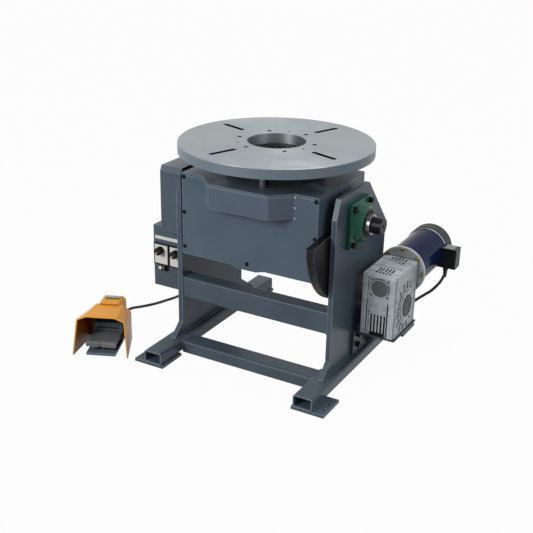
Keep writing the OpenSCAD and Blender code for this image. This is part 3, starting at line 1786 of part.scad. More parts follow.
gland_end = [foot_gland_x, foot_gland_y, ctrl_z0 - gland_len];
box_route = [
  coil_end, coil_end - [0, cord_lead, 0], [-357, 190, 10], [-353, 150, floor_z], [-347, 100, floor_z],
  [-342, 55, floor_z], [-340, 20, 7], [-340, -9, 20], [-340, -30, 46], [-340, -41, 84],
  [-340, -42, 118], gland_end - [0, 0, cord_lead], gland_end
];
echo(foot_cable_mm = route_len(smooth(foot_route)), foot_coil_mm = route_len(foot_coil_path),
  box_cable_mm = route_len(smooth(box_route)), motor_cable_mm = route_len(smooth(motor_cable_route)));

module foot_cable() {
  color("black")
    swept(smooth(foot_route), foot_cable_d, 8, [0, 0, 1]);
}

module foot_coil() {
  color("black")
    swept(foot_coil_path, foot_cable_d, 6, [0, 0, 1]);
}

module box_cable() {
  color("black")
    swept(smooth(box_route), foot_cable_d, 8, [1, 0, 0]);
}

left_runner();
right_runner();
foot_plates();
lower_beam();
upper_beam();
left_upright();
right_upright();
left_bearing();
right_bearing();
frame_bolts();
grease_nipples();
gearbox_shelf();
gearbox();
gearbox_caps();
drive_screws();
motor_flange();
motor_shell();
motor_cowl();
terminal_box();
terminal_lid();
motor_cable();
cable_glands();
tilt_pinion();
output_shaft();
worm_wheel();
worm_shaft();
motor_rotor();
bearing_cover();
control_box();
control_panel();
speed_modules();
scale_plates();
switch_bezels();
left_dial();
right_dial();
selector();
push_button();
tilt_housing();
top_plate();
front_cover();
hood();
body_screws();
trunnions();
inner_rings();
sector_gear();
slew_ring();
spin_motor();
spin_pinion();
earth_brush();
table();
table_hub();
ring_gear();
table_bolts();
foot_base();
foot_guard();
foot_pedal();
pedal_spring();
foot_cable();
foot_coil();
box_cable();
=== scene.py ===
import json
from math import cos, pi, radians, sin, tau

import bmesh
import bpy
from mathutils import Matrix, Vector

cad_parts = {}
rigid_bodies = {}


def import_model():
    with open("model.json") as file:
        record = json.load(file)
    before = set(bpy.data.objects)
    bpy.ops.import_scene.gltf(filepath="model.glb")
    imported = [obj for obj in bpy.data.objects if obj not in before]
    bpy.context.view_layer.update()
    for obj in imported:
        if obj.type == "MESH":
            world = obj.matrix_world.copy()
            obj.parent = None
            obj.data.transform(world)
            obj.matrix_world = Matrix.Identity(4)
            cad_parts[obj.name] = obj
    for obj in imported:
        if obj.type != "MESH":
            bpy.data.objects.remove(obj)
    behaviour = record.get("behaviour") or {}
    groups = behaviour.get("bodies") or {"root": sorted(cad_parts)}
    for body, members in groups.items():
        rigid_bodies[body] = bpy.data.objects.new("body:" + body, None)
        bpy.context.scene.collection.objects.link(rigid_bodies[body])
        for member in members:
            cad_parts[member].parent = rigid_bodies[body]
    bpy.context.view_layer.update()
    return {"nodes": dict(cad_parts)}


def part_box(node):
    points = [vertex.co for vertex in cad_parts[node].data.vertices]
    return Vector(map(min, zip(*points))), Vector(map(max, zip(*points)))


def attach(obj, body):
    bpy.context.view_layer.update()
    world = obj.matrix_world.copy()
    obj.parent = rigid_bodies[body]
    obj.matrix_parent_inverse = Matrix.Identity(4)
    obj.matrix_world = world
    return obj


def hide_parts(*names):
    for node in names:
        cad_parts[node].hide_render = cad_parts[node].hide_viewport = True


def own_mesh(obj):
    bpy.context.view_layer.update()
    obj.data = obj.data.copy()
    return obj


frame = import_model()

nodes = frame["nodes"]
shown = bpy.context.scene.collection.objects


# The view
# The camera stands in front of the machine, to its right and a little above the table, with a
# long lens, so that the upright edges stay nearly parallel.
view_yaw = radians(29.13)
view_pitch = radians(22.61)
view_roll = radians(1.16)
camera_data = bpy.data.cameras.new("camera")
camera_data.sensor_width = 36
camera_data.lens = 63.2
camera = bpy.data.objects.new("camera", camera_data)
shown.link(camera)
look = Matrix.Rotation(view_yaw, 4, "Z") @ Matrix.Rotation(pi / 2 - view_pitch, 4, "X")
stand = Matrix.Translation((1.3229, -2.4834, 1.4469))
camera.matrix_world = stand @ look @ Matrix.Rotation(view_roll, 4, "Z")
bpy.context.scene.camera = camera
bpy.context.scene.view_settings.view_transform = "Standard"


# Cables
# Two lengths of 10 mm cable with a black PVC jacket: one from the foot switch to the control
# box, its spare length wound in a coil behind the left skid, and a short one from the motor
# down into the right skid. Each leaves its gland through a tapered rubber sleeve.
def linear(hex_colour):
    """The linear colour, with alpha, of an sRGB hex value."""
    levels = [int(hex_colour[i:i + 2], 16) / 255 for i in (0, 2, 4)]
    return [v / 12.92 if v <= 0.04045 else ((v + 0.055) / 1.055) ** 2.4 for v in levels] + [1.0]


def add(tree, kind, sockets=None, **settings):
    """Adds a node with its settings, and gives each socket its value or its link."""
    made = tree.nodes.new("ShaderNode" + kind)
    for key, value in settings.items():
        setattr(made, key, value)
    for key, value in (sockets or {}).items():
        if isinstance(value, bpy.types.NodeSocket):
            tree.links.new(value, made.inputs[key])
        else:
            made.inputs[key].default_value = value
    return made


def new_finish(name):
    """A material with its tree, its shader and the place on the piece that patterns follow."""
    made = bpy.data.materials.new(name)
    made.use_nodes = True
    tree = made.node_tree
    place = add(tree, "TexCoord").outputs["Object"]
    return made, tree, tree.nodes["Principled BSDF"], place


def new_piece(name, data, finish, body):
    """A piece of that mesh or curve, in its finish, riding on its body."""
    piece = bpy.data.objects.new(name, data)
    shown.link(piece)
    data.materials.append(finish)
    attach(piece, body)
    return piece


# extruded PVC: dull black with a soft sheen, and faint scuffs along it
jacket_scuff = 0.012
pvc_jacket, tree, shader, place = new_finish("extruded_black_pvc")
scuff = add(tree, "TexNoise", {"Vector": place, "Scale": 1 / jacket_scuff, "Detail": 3.0})
shade = add(tree, "Mix", {0: scuff.outputs["Fac"], 6: linear("0B0B0C"), 7: linear("1A1A1B")},
            data_type="RGBA")
dull = add(tree, "MapRange", {0: scuff.outputs["Fac"], 3: 0.38, 4: 0.58})
skin = add(tree, "Bump", {"Strength": 0.2, "Distance": 0.0002, "Height": scuff.outputs["Fac"]})
tree.links.new(shade.outputs[2], shader.inputs["Base Color"])
tree.links.new(dull.outputs[0], shader.inputs["Roughness"])
tree.links.new(skin.outputs[0], shader.inputs["Normal"])


def cable(name, points, diameter):
    """A cable of round section on one smooth curve through the points."""
    curve = bpy.data.curves.new(name, "CURVE")
    curve.dimensions = "3D"
    curve.bevel_depth = diameter / 2
    curve.bevel_resolution = 4
    curve.resolution_u = 8
    curve.use_fill_caps = True
    spline = curve.splines.new("BEZIER")
    spline.bezier_points.add(len(points) - 1)
    for knot, point in zip(spline.bezier_points, points):
        knot.co = point
        knot.handle_left_type = "AUTO"
        knot.handle_right_type = "AUTO"
    return new_piece(name, curve, pvc_jacket, "frame")


def turned(name, profile, start, axis, finish, body, sides=32):
    """A turned piece: a profile of (along, radius) pairs, swept round an axis from a start."""
    shape = bmesh.new()
    to_axis = Vector((0, 0, 1)).rotation_difference(Vector(axis)).to_matrix().to_4x4()
    seat = Matrix.Translation(start) @ to_axis
    rings = []
    for along, radius in profile:
        ring = []
        for i in range(sides):
            turn = tau * i / sides
            ring.append(shape.verts.new(seat @ Vector((radius * cos(turn), radius * sin(turn), along))))
        rings.append(ring)
    for lower, upper in zip(rings, rings[1:]):
        for i in range(sides):
            j = (i + 1) % sides
            shape.faces.new((lower[i], lower[j], upper[j], upper[i]))
    shape.faces.new(rings[0][::-1])
    shape.faces.new(rings[-1])
    bmesh.ops.recalc_face_normals(shape, faces=shape.faces)
    mesh = bpy.data.meshes.new(name)
    shape.to_mesh(mesh)
    shape.free()
    for face in mesh.polygons:
        face.use_smooth = len(face.vertices) == 4
    return new_piece(name, mesh, finish, body)


cable_d = 0.010
cable_r = cable_d / 2
sleeve_len = 0.026
sleeve_r = 0.0078
sleeve_grooves = 4


def cable_sleeve(name, start, axis):
    """A tapered sleeve with grooves round it."""
    profile = [(-0.001, sleeve_r)]
    for i in range(sleeve_grooves):
        for share, dip in ((0.1, 0), (0.55, 0), (0.6, 0.0012), (0.9, 0.0012), (0.95, 0)):
            t = (i + share) / (sleeve_grooves + 1)
            radius = sleeve_r + (cable_r + 0.0006 - sleeve_r) * t
            profile.append((t * sleeve_len, max(radius - dip, cable_r + 0.0003)))
    profile.append((sleeve_len, cable_r + 0.0005))
    return turned(name, profile, start, axis, pvc_jacket, "frame", 24)


foot_turn = radians(23.5)
foot_seat = Vector((-0.453, -0.391, 0))
foot_axis = Vector((-sin(foot_turn), cos(foot_turn), 0))
foot_exit = foot_seat + 0.209 * foot_axis + Vector((0, 0, 0.024))
foot_route = [
    foot_exit, foot_exit + 0.015 * foot_axis, (-0.552, -0.163, 0.020), (-0.565, -0.132, 0.013),
    (-0.576, -0.104, 0.007), (-0.583, -0.080, 0.005), (-0.580, -0.056, 0.005),
    (-0.560, -0.027, 0.005), (-0.535, 0.014, 0.005), (-0.514, 0.068, 0.005),
    (-0.500, 0.112, 0.005), (-0.497, 0.160, 0.005), (-0.497, 0.195, 0.005),
    (-0.4973, 0.225, 0.005), (-0.4973, 0.240, 0.005),
]
box_route = [
    (-0.3587, 0.240, 0.0158), (-0.3587, 0.225, 0.0158), (-0.357, 0.190, 0.010),
    (-0.353, 0.150, 0.005), (-0.347, 0.100, 0.005), (-0.342, 0.055, 0.005),
    (-0.340, 0.020, 0.007), (-0.340, -0.009, 0.020), (-0.340, -0.030, 0.046),
    (-0.340, -0.041, 0.084), (-0.340, -0.042, 0.118), (-0.340, -0.042, 0.151),
    (-0.340, -0.042, 0.166),
]
coil_x = -0.428
coil_y = 0.250
coil_in_r = 0.045
coil_step = 0.0108
coil_turns = 4.5
turn_points = 24
coil_route = []
for i in range(round(turn_points * coil_turns) + 1):
    turns = i / turn_points
    radius = coil_in_r + coil_step * abs(turns - coil_turns / 2)
    climb = min(max(2 * turns - coil_turns + 0.5, 0), 1)
    layer = climb * climb * (3 - 2 * climb)
    coil_route.append((
        coil_x - radius * cos(tau * turns),
        coil_y + radius * sin(tau * turns),
        cable_r + coil_step * layer,
    ))
foot_cable = cable("foot_switch_cable", foot_route + coil_route + box_route, cable_d)
foot_sleeve = cable_sleeve("foot_cable_sleeve", foot_exit, foot_axis)
box_sleeve = cable_sleeve("box_cable_sleeve", box_route[-1], (0, 0, -1))
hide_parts("foot_cable", "foot_coil", "box_cable")


def coil_tie(name, turn):
    """A flat tie drawn round all turns of the coil at one place."""
    out = Vector((cos(turn), sin(turn), 0))
    side = Vector((-sin(turn), cos(turn), 0))
    inner = coil_in_r - cable_r - 0.0005
    outer = coil_in_r + coil_step * coil_turns / 2 + cable_r
    top = cable_d + coil_step + 0.0005
    bend = cable_r
    corners = ((inner, 0, pi), (outer, 0, -pi / 2), (outer, top, 0), (inner, top, pi / 2))
    shape = bmesh.new()
    loops = []
    for lift in (0.0002, 0.0012):
        for offset in (-0.0018, 0.0018):
            loop = []
            for reach, height, begin in corners:
                mid_r = reach + (bend if reach == inner else -bend)
                mid_z = height + (bend if height == 0 else -bend)
                for k in range(5):
                    angle = begin + pi / 2 * k / 4
                    flat = mid_r + (bend + lift) * cos(angle)
                    high = max(mid_z + (bend + lift) * sin(angle), 0.0001)
                    spot = Vector((coil_x, coil_y, high)) + out * flat + side * offset
                    loop.append(shape.verts.new(spot))
            loops.append(loop)
    count = len(loops[0])
    for a, b in ((0, 1), (1, 3), (3, 2), (2, 0)):
        for i in range(count):
            j = (i + 1) % count
            shape.faces.new((loops[a][i], loops[a][j], loops[b][j], loops[b][i]))
    bmesh.ops.recalc_face_normals(shape, faces=shape.faces)
    mesh = bpy.data.meshes.new(name)
    shape.to_mesh(mesh)
    shape.free()
    return new_piece(name, mesh, pvc_jacket, "frame")


coil_ties = [coil_tie("coil_tie_%d" % i, radians(90 + 120 * i)) for i in range(3)]

motor_route = [
    (0.4405, 0.32653, 0.248), (0.4405, 0.32653, 0.233), (0.437, 0.323, 0.222),
    (0.431, 0.317, 0.206), (0.421, 0.312, 0.190), (0.404, 0.306, 0.169),
    (0.386, 0.303, 0.153), (0.367, 0.303, 0.136), (0.348, 0.301, 0.119),
    (0.327, 0.292, 0.112), (0.309, 0.275, 0.110), (0.297, 0.256, 0.103),
    (0.2895, 0.243, 0.090), (0.288, 0.238, 0.074), (0.288, 0.238, 0.060),
]
motor_cable = cable("motor_supply_cable", motor_route, cable_d)
motor_sleeve = cable_sleeve("motor_cable_sleeve", motor_route[0], (0, 0, -1))
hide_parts("motor_cable")


# The studio
# A pale floor that keeps a soft shadow, a white surround, and large soft lamps in front, above
# and to the right.
floor_mesh = bpy.data.meshes.new("floor")
floor_half = 40
floor_corners = [(-floor_half, -floor_half, 0), (floor_half, -floor_half, 0),
                 (floor_half, floor_half, 0), (-floor_half, floor_half, 0)]
floor_mesh.from_pydata(floor_corners, [], [(0, 1, 2, 3)])
floor = bpy.data.objects.new("floor", floor_mesh)
shown.link(floor)
floor_finish, tree, shader, place = new_finish("studio_floor")
shader.inputs["Base Color"].default_value = linear("7E7E7E")
shader.inputs["Roughness"].default_value = 0.9
rays = add(tree, "LightPath")
mirror = add(tree, "Math", {0: rays.outputs["Is Camera Ray"], 1: rays.outputs["Is Glossy Ray"]},
             operation="MAXIMUM")
seen = add(tree, "Math", {0: mirror.outputs[0], 1: rays.outputs["Is Transmission Ray"]},
           operation="MAXIMUM")
paper = add(tree, "Emission", {"Color": linear("FFFFFF"), "Strength": 1.0})
paper_share = add(tree, "Math", {0: seen.outputs[0], 1: 0.975}, operation="MULTIPLY")
sweep = add(tree, "MixShader", {0: paper_share.outputs[0], 1: shader.outputs[0], 2: paper.outputs[0]})
tree.links.new(sweep.outputs[0], tree.nodes["Material Output"].inputs["Surface"])
floor_mesh.materials.append(floor_finish)

surround = bpy.data.worlds.new("surround")
surround.use_nodes = True
bpy.context.scene.world = surround
tree = surround.node_tree
rays = add(tree, "LightPath")
mirror = add(tree, "Math", {0: rays.outputs["Is Camera Ray"], 1: rays.outputs["Is Glossy Ray"]},
             operation="MAXIMUM")
seen = add(tree, "Math", {0: mirror.outputs[0], 1: rays.outputs["Is Transmission Ray"]},
           operation="MAXIMUM")
level = add(tree, "MapRange", {0: seen.outputs[0], 3: 0.4, 4: 1.0})
tree.links.new(level.outputs[0], tree.nodes["Background"].inputs["Strength"])
tree.nodes["Background"].inputs["Color"].default_value = linear("FFFFFF")


def lamp(name, place, size, power):
    """A large soft lamp that faces the machine."""
    light = bpy.data.lights.new(name, "AREA")
    light.shape = "DISK"
    light.size = size
    light.energy = power
    made = bpy.data.objects.new(name, light)
    made.location = place
    middle = Vector((0, 0, 0.4))
    made.rotation_euler = (middle - Vector(place)).to_track_quat("-Z", "Y").to_euler()
    shown.link(made)


lamp("front_lamp", (-1.4, -3.6, 2.2), 1.6, 108)
lamp("top_lamp", (0.4, 0.4, 3.4), 1.6, 40)
lamp("right_lamp", (3.4, -0.8, 1.8), 1.0, 18)


# Frame
# Two skids of rectangular tube on foot plates, two beams and two 16 mm plates, welded by hand
# and sprayed with blue-grey machine enamel over the welds.
# real edges are worn over 2 mm; the pale edge line, part wear and part painted highlight, is drawn over 4
# mm so that it shows
wear_and_highlight_width = 0.004
# enamel rounds each edge to about this radius
edge_radius = 0.0016


def pocket_shade(tree, shader, colour, shade_colour, reach):
    """Paints shade into what lies deep between other faces: the colour turns to the shade colour where
    ambient occlusion finds other faces near.
    """
    occlusion = add(tree, "AmbientOcclusion", {"Distance": reach}, samples=8)
    clear = add(tree, "MapRange", {0: occlusion.outputs["AO"], 1: 0.35, 2: 0.75})
    both = add(tree, "Mix", {0: clear.outputs[0], 6: linear(shade_colour), 7: colour}, data_type="RGBA")
    tree.links.new(both.outputs[2], shader.inputs["Base Color"])


def enamel(name, colour, patch, edge, gloss, grain, depth, shine=0.2, shade_colour=""):
    """Sprayed enamel: even, with faint clouds, a paler line at each edge that is part thin, worn paint and
    part painted highlight, and the grain of what is under it. A shade colour, when given, is painted shade
    that it turns to deep inside a piece."""
    made, tree, shader, place = new_finish(name)
    cloud = add(tree, "TexNoise", {"Vector": place, "Scale": 1 / 0.14, "Detail": 5.0})
    amount = add(tree, "MapRange", {0: cloud.outputs["Fac"], 1: 0.35, 2: 0.7})
    shade = add(tree, "Mix", {0: amount.outputs[0], 6: linear(colour), 7: linear(patch)},
                data_type="RGBA")
    rounded = add(tree, "Bevel", {"Radius": edge_radius}, samples=6)
    flat = add(tree, "NewGeometry").outputs["Normal"]
    wide = add(tree, "Bevel", {"Radius": wear_and_highlight_width}, samples=8)
    facing = add(tree, "VectorMath", {0: wide.outputs[0], 1: flat}, operation="DOT_PRODUCT")
    corner = add(tree, "MapRange", {0: facing.outputs["Value"], 1: 0.98, 2: 0.84})
    chips = add(tree, "TexNoise", {"Vector": place, "Scale": 1 / 0.018, "Detail": 3.0})
    worn = add(tree, "MapRange", {0: chips.outputs["Fac"], 1: 0.3, 2: 0.65, 3: 0.55, 4: 1.0})
    rub_and_highlight = add(tree, "Math", {0: corner.outputs[0], 1: worn.outputs[0]}, operation="MULTIPLY")
    # the pale edge colour is part worn paint and part painted highlight along each edge
    coat = add(tree, "Mix", {0: rub_and_highlight.outputs[0], 6: shade.outputs[2], 7: linear(edge)},
               data_type="RGBA")
    sheen = add(tree, "MapRange", {0: cloud.outputs["Fac"], 1: 0.3, 2: 0.7, 3: gloss - 0.05,
                                   4: gloss + 0.07})
    peel = add(tree, "TexNoise", {"Vector": place, "Scale": 1 / grain, "Detail": 2.0})
    skin = add(tree, "Bump", {"Strength": 0.5, "Distance": depth, "Height": peel.outputs["Fac"],
                              "Normal": rounded.outputs[0]})
    shader.inputs["Specular IOR Level"].default_value = shine
    tree.links.new(coat.outputs[2], shader.inputs["Base Color"])
    # painted shade: with a shade colour given, the enamel is darkened deep inside the piece
    if shade_colour:
        pocket_shade(tree, shader, coat.outputs[2], shade_colour, 0.2)
    tree.links.new(sheen.outputs[0], shader.inputs["Roughness"])
    tree.links.new(skin.outputs[0], shader.inputs["Normal"])
    return made


def dress(finish, *names):
    """Gives these nodes their finish."""
    for name in names:
        slots = nodes[name].data.materials
        slots.clear()
        slots.append(finish)


# the peel of sprayed enamel is 1 to 2 mm, drawn at 5 mm so that it shows
frame_enamel = enamel("blue_grey_machine_enamel", "414D59", "495662", "8C99A5", 0.34, 0.005, 0.00012)
dress(frame_enamel, "left_runner", "right_runner", "foot_plates", "lower_beam", "upper_beam",
      "left_upright", "right_upright")


def weld(shape, start, end, width):
    """Adds one bead of overlapping ripples along a corner."""
    start = Vector(start)
    run = Vector(end) - start
    ripple = 0.0036
    rings = []
    count = max(round(run.length / (ripple / 4)), 4)
    across = Vector((0, 0, 1)).rotation_difference(run.normalized())
    for i in range(count + 1):
        t = i / count
        wave = abs(sin(pi * t * run.length / ripple))
        drift = 0.08 * sin(37 * t + 5 * start.y) + 0.06 * sin(91 * t + 3 * start.x)
        ends = min(1, 5 * run.length * min(t, 1 - t) / width + 0.35)
        radius = width / 2 * (0.82 + 0.18 * wave + drift) * ends
        ring = []
        for k in range(8):
            turn = tau * k / 8
            spot = across @ Vector((radius * cos(turn), radius * sin(turn), 0))
            ring.append(shape.verts.new(start + run * t + spot))
        rings.append(ring)
    for lower, upper in zip(rings, rings[1:]):
        for k in range(8):
            j = (k + 1) % 8
            shape.faces.new((lower[k], lower[j], upper[j], upper[k]))
    shape.faces.new(rings[0][::-1])
    shape.faces.new(rings[-1])


def bead_piece(name, beads, finish, body):
    """One piece that holds several beads, each (start, end, width)."""
    shape = bmesh.new()
    for start, end, width in beads:
        weld(shape, start, end, width)
    mesh = bpy.data.meshes.new(name)
    shape.to_mesh(mesh)
    shape.free()
    for face in mesh.polygons:
        face.use_smooth = True
    return new_piece(name, mesh, finish, body)


skid_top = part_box("left_runner")[1].z
skid_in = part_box("right_runner")[0].x
skid_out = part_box("right_runner")[1].x
plate_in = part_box("right_upright")[0].x
plate_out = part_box("right_upright")[1].x
plate_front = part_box("right_upright")[0].y
plate_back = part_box("right_upright")[1].y
lower_lo, lower_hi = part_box("lower_beam")
upper_lo, upper_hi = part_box("upper_beam")
foot_top = 0.010
foot_reach = 0.254
weld_w = 0.007
frame_beads = []
for side in (-1, 1):
    for x in (side * plate_in, side * plate_out):
        frame_beads.append(((x, plate_front + 0.004, skid_top), (x, plate_back - 0.004, skid_top), weld_w))
    x = side * skid_in
    frame_beads.append(((x, lower_lo.y, 0.019), (x, lower_lo.y, lower_hi.z), weld_w))
    frame_beads.append(((x, lower_lo.y, lower_hi.z), (x, lower_hi.y, lower_hi.z), weld_w))
    frame_beads.append(((x, lower_hi.y, 0.019), (x, lower_hi.y, lower_hi.z), weld_w))
    x = side * plate_in
    for y in (upper_lo.y, upper_hi.y):
        frame_beads.append(((x, y, upper_lo.z), (x, y, upper_hi.z), weld_w))
    frame_beads.append(((x, upper_lo.y, upper_hi.z), (x, upper_hi.y, upper_hi.z), weld_w))
    for end in (-1, 1):
        for x in (side * skid_in, side * skid_out):
            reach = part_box("right_runner")[1].y - 0.004
            near = (x, end * (foot_reach + 0.006), foot_top + 0.002)
            frame_beads.append((near, (x, end * reach, foot_top + 0.002), 0.006))
bead_piece("frame_welds", frame_beads, frame_enamel, "frame")


# Screws and turned steel
# Socket screws in black oxide, yellow zinc screws on the gear drive, bright zinc fittings, and
# shafts and rings of ground steel.
def turned_metal(name, colour, tint, gloss, pitch, depth):
    """Bare or plated metal with fine tool marks, and edges rounded so that they catch a brighter line."""
    made, tree, shader, place = new_finish(name)
    grain = add(tree, "TexNoise", {"Vector": place, "Scale": 1 / pitch, "Detail": 4.0})
    shade = add(tree, "Mix", {0: grain.outputs["Fac"], 6: linear(colour), 7: linear(tint)},
                data_type="RGBA")
    rounded = add(tree, "Bevel", {"Radius": 0.0006}, samples=6)
    sheen = add(tree, "MapRange", {0: grain.outputs["Fac"], 1: 0.3, 2: 0.7, 3: gloss - 0.06,
                                   4: gloss + 0.08})
    marks = add(tree, "Bump", {"Strength": 0.4, "Distance": depth, "Height": grain.outputs["Fac"],
                               "Normal": rounded.outputs[0]})
    shader.inputs["Metallic"].default_value = 1.0
    tree.links.new(shade.outputs[2], shader.inputs["Base Color"])
    tree.links.new(sheen.outputs[0], shader.inputs["Roughness"])
    tree.links.new(marks.outputs[0], shader.inputs["Normal"])
    return made


# black oxide: nearly black, with a dull steel glint on edges
black_oxide = turned_metal("black_oxide_steel", "141416", "2A2A2C", 0.38, 0.004, 0.0001)
# yellow zinc: brassy, with a faint green and red cast
yellow_zinc = turned_metal("yellow_zinc_plated_steel", "8C7A4C", "A08D5C", 0.36, 0.005, 0.0001)
# bright zinc: pale and slightly blue
bright_zinc = turned_metal("bright_zinc_plated_steel", "A9AEB1", "C3C7C9", 0.3, 0.006, 0.0001)
# ground steel: mid grey, with soft reflections
ground_steel = turned_metal("ground_steel", "8B8C8D", "A3A4A5", 0.3, 0.006, 0.00008)
# blackened gear steel under oil: dark, with soft highlights on the flanks
oiled_steel = turned_metal("blackened_oiled_gear_steel", "1A1B1D", "303235", 0.34, 0.01, 0.0001)
# drawn spring wire: smooth, grey
spring_wire = turned_metal("drawn_spring_steel", "7E8082", "96989A", 0.3, 0.003, 0.00005)
# cast bronze, cut: warm brown yellow
cast_bronze = turned_metal("cast_bronze", "94683A", "AC7E48", 0.36, 0.006, 0.0001)
dress(black_oxide, "frame_bolts", "body_screws", "table_bolts", "trunnions")
dress(yellow_zinc, "drive_screws")
dress(bright_zinc, "grease_nipples")
# the brush's housing, dulled by handling: mid grey
dull_zinc = turned_metal("dulled_zinc_plate", "5E6366", "72777A", 0.4, 0.004, 0.0001)
dress(dull_zinc, "earth_brush")
# bearing steel, hardened and oiled: darker than the shafts
bearing_steel = turned_metal("oiled_bearing_steel", "7A7B7D", "929395", 0.28, 0.006, 0.00008)
dress(ground_steel, "output_shaft", "worm_shaft", "motor_rotor", "spin_pinion", "table_hub")
dress(bearing_steel, "inner_rings")
dress(oiled_steel, "tilt_pinion", "ring_gear")
# blackened gear steel, dry: black, with painted highlights in grey along the edges of its teeth
sector_teeth_highlight_steel = enamel("blackened_sector_steel_painted_highlights", "0E0F10", "151617", "5A5E62", 0.36, 0.004, 0.0002, 0.12)
dress(sector_teeth_highlight_steel, "sector_gear")
dress(cast_bronze, "worm_wheel")


# Bearings
# Two square four-bolt flange housings of grey iron, sand cast and brushed with green enamel.
# the sand's grain is 0.5 mm, drawn at 3 mm so that it shows
green_enamel = enamel("green_enamel_on_cast_iron", "0F4A3A", "155A47", "4F9080", 0.26, 0.003, 0.0005)
dress(green_enamel, "left_bearing", "right_bearing")


# Gear drive
# A worm gearbox in a die cast aluminium case, blasted and slightly stained, with plastic caps,
# a turned aluminium flange, and a motor in glossy dark blue enamel with a moulded fan cowl.
# the blasting's grain is 0.4 mm, drawn at 2.5 mm so that it shows
cast_grain = 0.0025
cast_aluminium, tree, shader, place = new_finish("blasted_die_cast_aluminium")
stain = add(tree, "TexNoise", {"Vector": place, "Scale": 1 / 0.02, "Detail": 6.0, "Roughness": 0.65})
amount = add(tree, "MapRange", {0: stain.outputs["Fac"], 1: 0.36, 2: 0.62})
shade = add(tree, "Mix", {0: amount.outputs[0], 6: linear("9AA1A5"), 7: linear("B2B8BB")},
            data_type="RGBA")
rounded = add(tree, "Bevel", {"Radius": 0.0016}, samples=6)
grain = add(tree, "TexNoise", {"Vector": place, "Scale": 1 / cast_grain, "Detail": 3.0})
skin = add(tree, "Bump", {"Strength": 0.6, "Distance": 0.0005, "Height": grain.outputs["Fac"],
                          "Normal": rounded.outputs[0]})
dull = add(tree, "MapRange", {0: stain.outputs["Fac"], 1: 0.3, 2: 0.7, 3: 0.42, 4: 0.6})
shader.inputs["Metallic"].default_value = 0.4
# painted shade: the casting's colour turns dark grey in its crevices and hollows
pocket_shade(tree, shader, shade.outputs[2], "33383B", 0.008)
tree.links.new(dull.outputs[0], shader.inputs["Roughness"])
tree.links.new(skin.outputs[0], shader.inputs["Normal"])
dress(cast_aluminium, "gearbox", "motor_flange")
# turned aluminium: paler than the casting, with a soft sheen
turned_aluminium = turned_metal("turned_aluminium", "A4AAAE", "BEC3C6", 0.42, 0.012, 0.0001)
# gloss enamel on drawn tube: deep blue, nearly black in the shade
motor_enamel = enamel("dark_blue_gloss_enamel", "0C183C", "10204A", "2A3C66", 0.12, 0.006,
                      0.00004, 0.05)
dress(motor_enamel, "motor_shell")


def moulded(name, colour, patch, gloss, grain, depth):
    """Moulded plastic: even colour, a fine spark-eroded grain and softly rounded edges."""
    made, tree, shader, place = new_finish(name)
    cloud = add(tree, "TexNoise", {"Vector": place, "Scale": 1 / 0.03, "Detail": 4.0})
    shade = add(tree, "Mix", {0: cloud.outputs["Fac"], 6: linear(colour), 7: linear(patch)},
                data_type="RGBA")
    rounded = add(tree, "Bevel", {"Radius": 0.0008}, samples=6)
    spark = add(tree, "TexNoise", {"Vector": place, "Scale": 1 / grain, "Detail": 2.0})
    skin = add(tree, "Bump", {"Strength": 0.4, "Distance": depth, "Height": spark.outputs["Fac"],
                              "Normal": rounded.outputs[0]})
    sheen = add(tree, "MapRange", {0: cloud.outputs["Fac"], 1: 0.3, 2: 0.7, 3: gloss - 0.05,
                                   4: gloss + 0.07})
    shader.inputs["Specular IOR Level"].default_value = 0.18
    tree.links.new(shade.outputs[2], shader.inputs["Base Color"])
    tree.links.new(sheen.outputs[0], shader.inputs["Roughness"])
    tree.links.new(skin.outputs[0], shader.inputs["Normal"])
    return made


# glass filled nylon: dark grey, dull
cowl_plastic = moulded("moulded_dark_grey_nylon", "303234", "3C3E40", 0.5, 0.002, 0.0002)
# black nylon: deep black with a satin gleam
black_nylon = moulded("moulded_black_nylon", "0C0D0E", "161718", 0.36, 0.0015, 0.0001)
# black ABS: satin
black_abs = moulded("moulded_black_abs", "151617", "1F2021", 0.36, 0.002, 0.0001)
# rubber coated steel caps: olive grey, dull
cap_rubber = moulded("moulded_olive_grey_rubber", "5C6260", "6A716E", 0.55, 0.002, 0.0001)
dress(cowl_plastic, "motor_cowl")
dress(black_nylon, "terminal_box", "cable_glands", "speed_modules", "switch_bezels", "left_dial",
      "right_dial", "selector")
dress(black_abs, "terminal_lid")
dress(cap_rubber, "gearbox_caps")


def padded_block(shape, size, place, bevel):
    """Adds a block with rounded edges."""
    made = bmesh.ops.create_cube(shape, size=1, matrix=place @ Matrix.Diagonal((*size, 1)))
    edges = {edge for vert in made["verts"] for edge in vert.link_edges}
    bmesh.ops.bevel(shape, geom=list(edges), offset=bevel, segments=2, affect="EDGES", profile=0.6)


def mesh_piece(name, shape, finish, body):
    """A piece of a finished shape, with flat faces."""
    mesh = bpy.data.meshes.new(name)
    shape.to_mesh(mesh)
    shape.free()
    return new_piece(name, mesh, finish, body)


def ring_on(shape, centre, axis_turn, outer, inner, height):
    """Adds a flat ring with a rounded rim, its back on the centre."""
    seat = Matrix.Translation(centre) @ axis_turn
    rings = []
    lip = min(height, outer - inner) / 4
    profile = ((outer, 0), (outer, height - lip), (outer - lip, height), (inner + lip, height),
               (inner, height - lip), (inner, 0))
    for radius, up in profile:
        rings.append([shape.verts.new(seat @ Vector((radius * cos(tau * k / 48), radius * sin(tau * k / 48),
                                                     up))) for k in range(48)])
    for first, second in zip(rings, rings[1:] + rings[:1]):
        for k in range(48):
            j = (k + 1) % 48
            shape.faces.new((first[k], first[j], second[j], second[k]))


case_lo, case_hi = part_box("gearbox")
case_front = case_lo.y
rib_t = 0.004
side_face = 0.414
worm_x = 0.360
worm_z = 0.300
out_y = 0.038528
out_z = 0.225
to_front = Matrix.Rotation(pi / 2, 4, "X")
to_right = Matrix.Rotation(pi / 2, 4, "Y")
shape = bmesh.new()
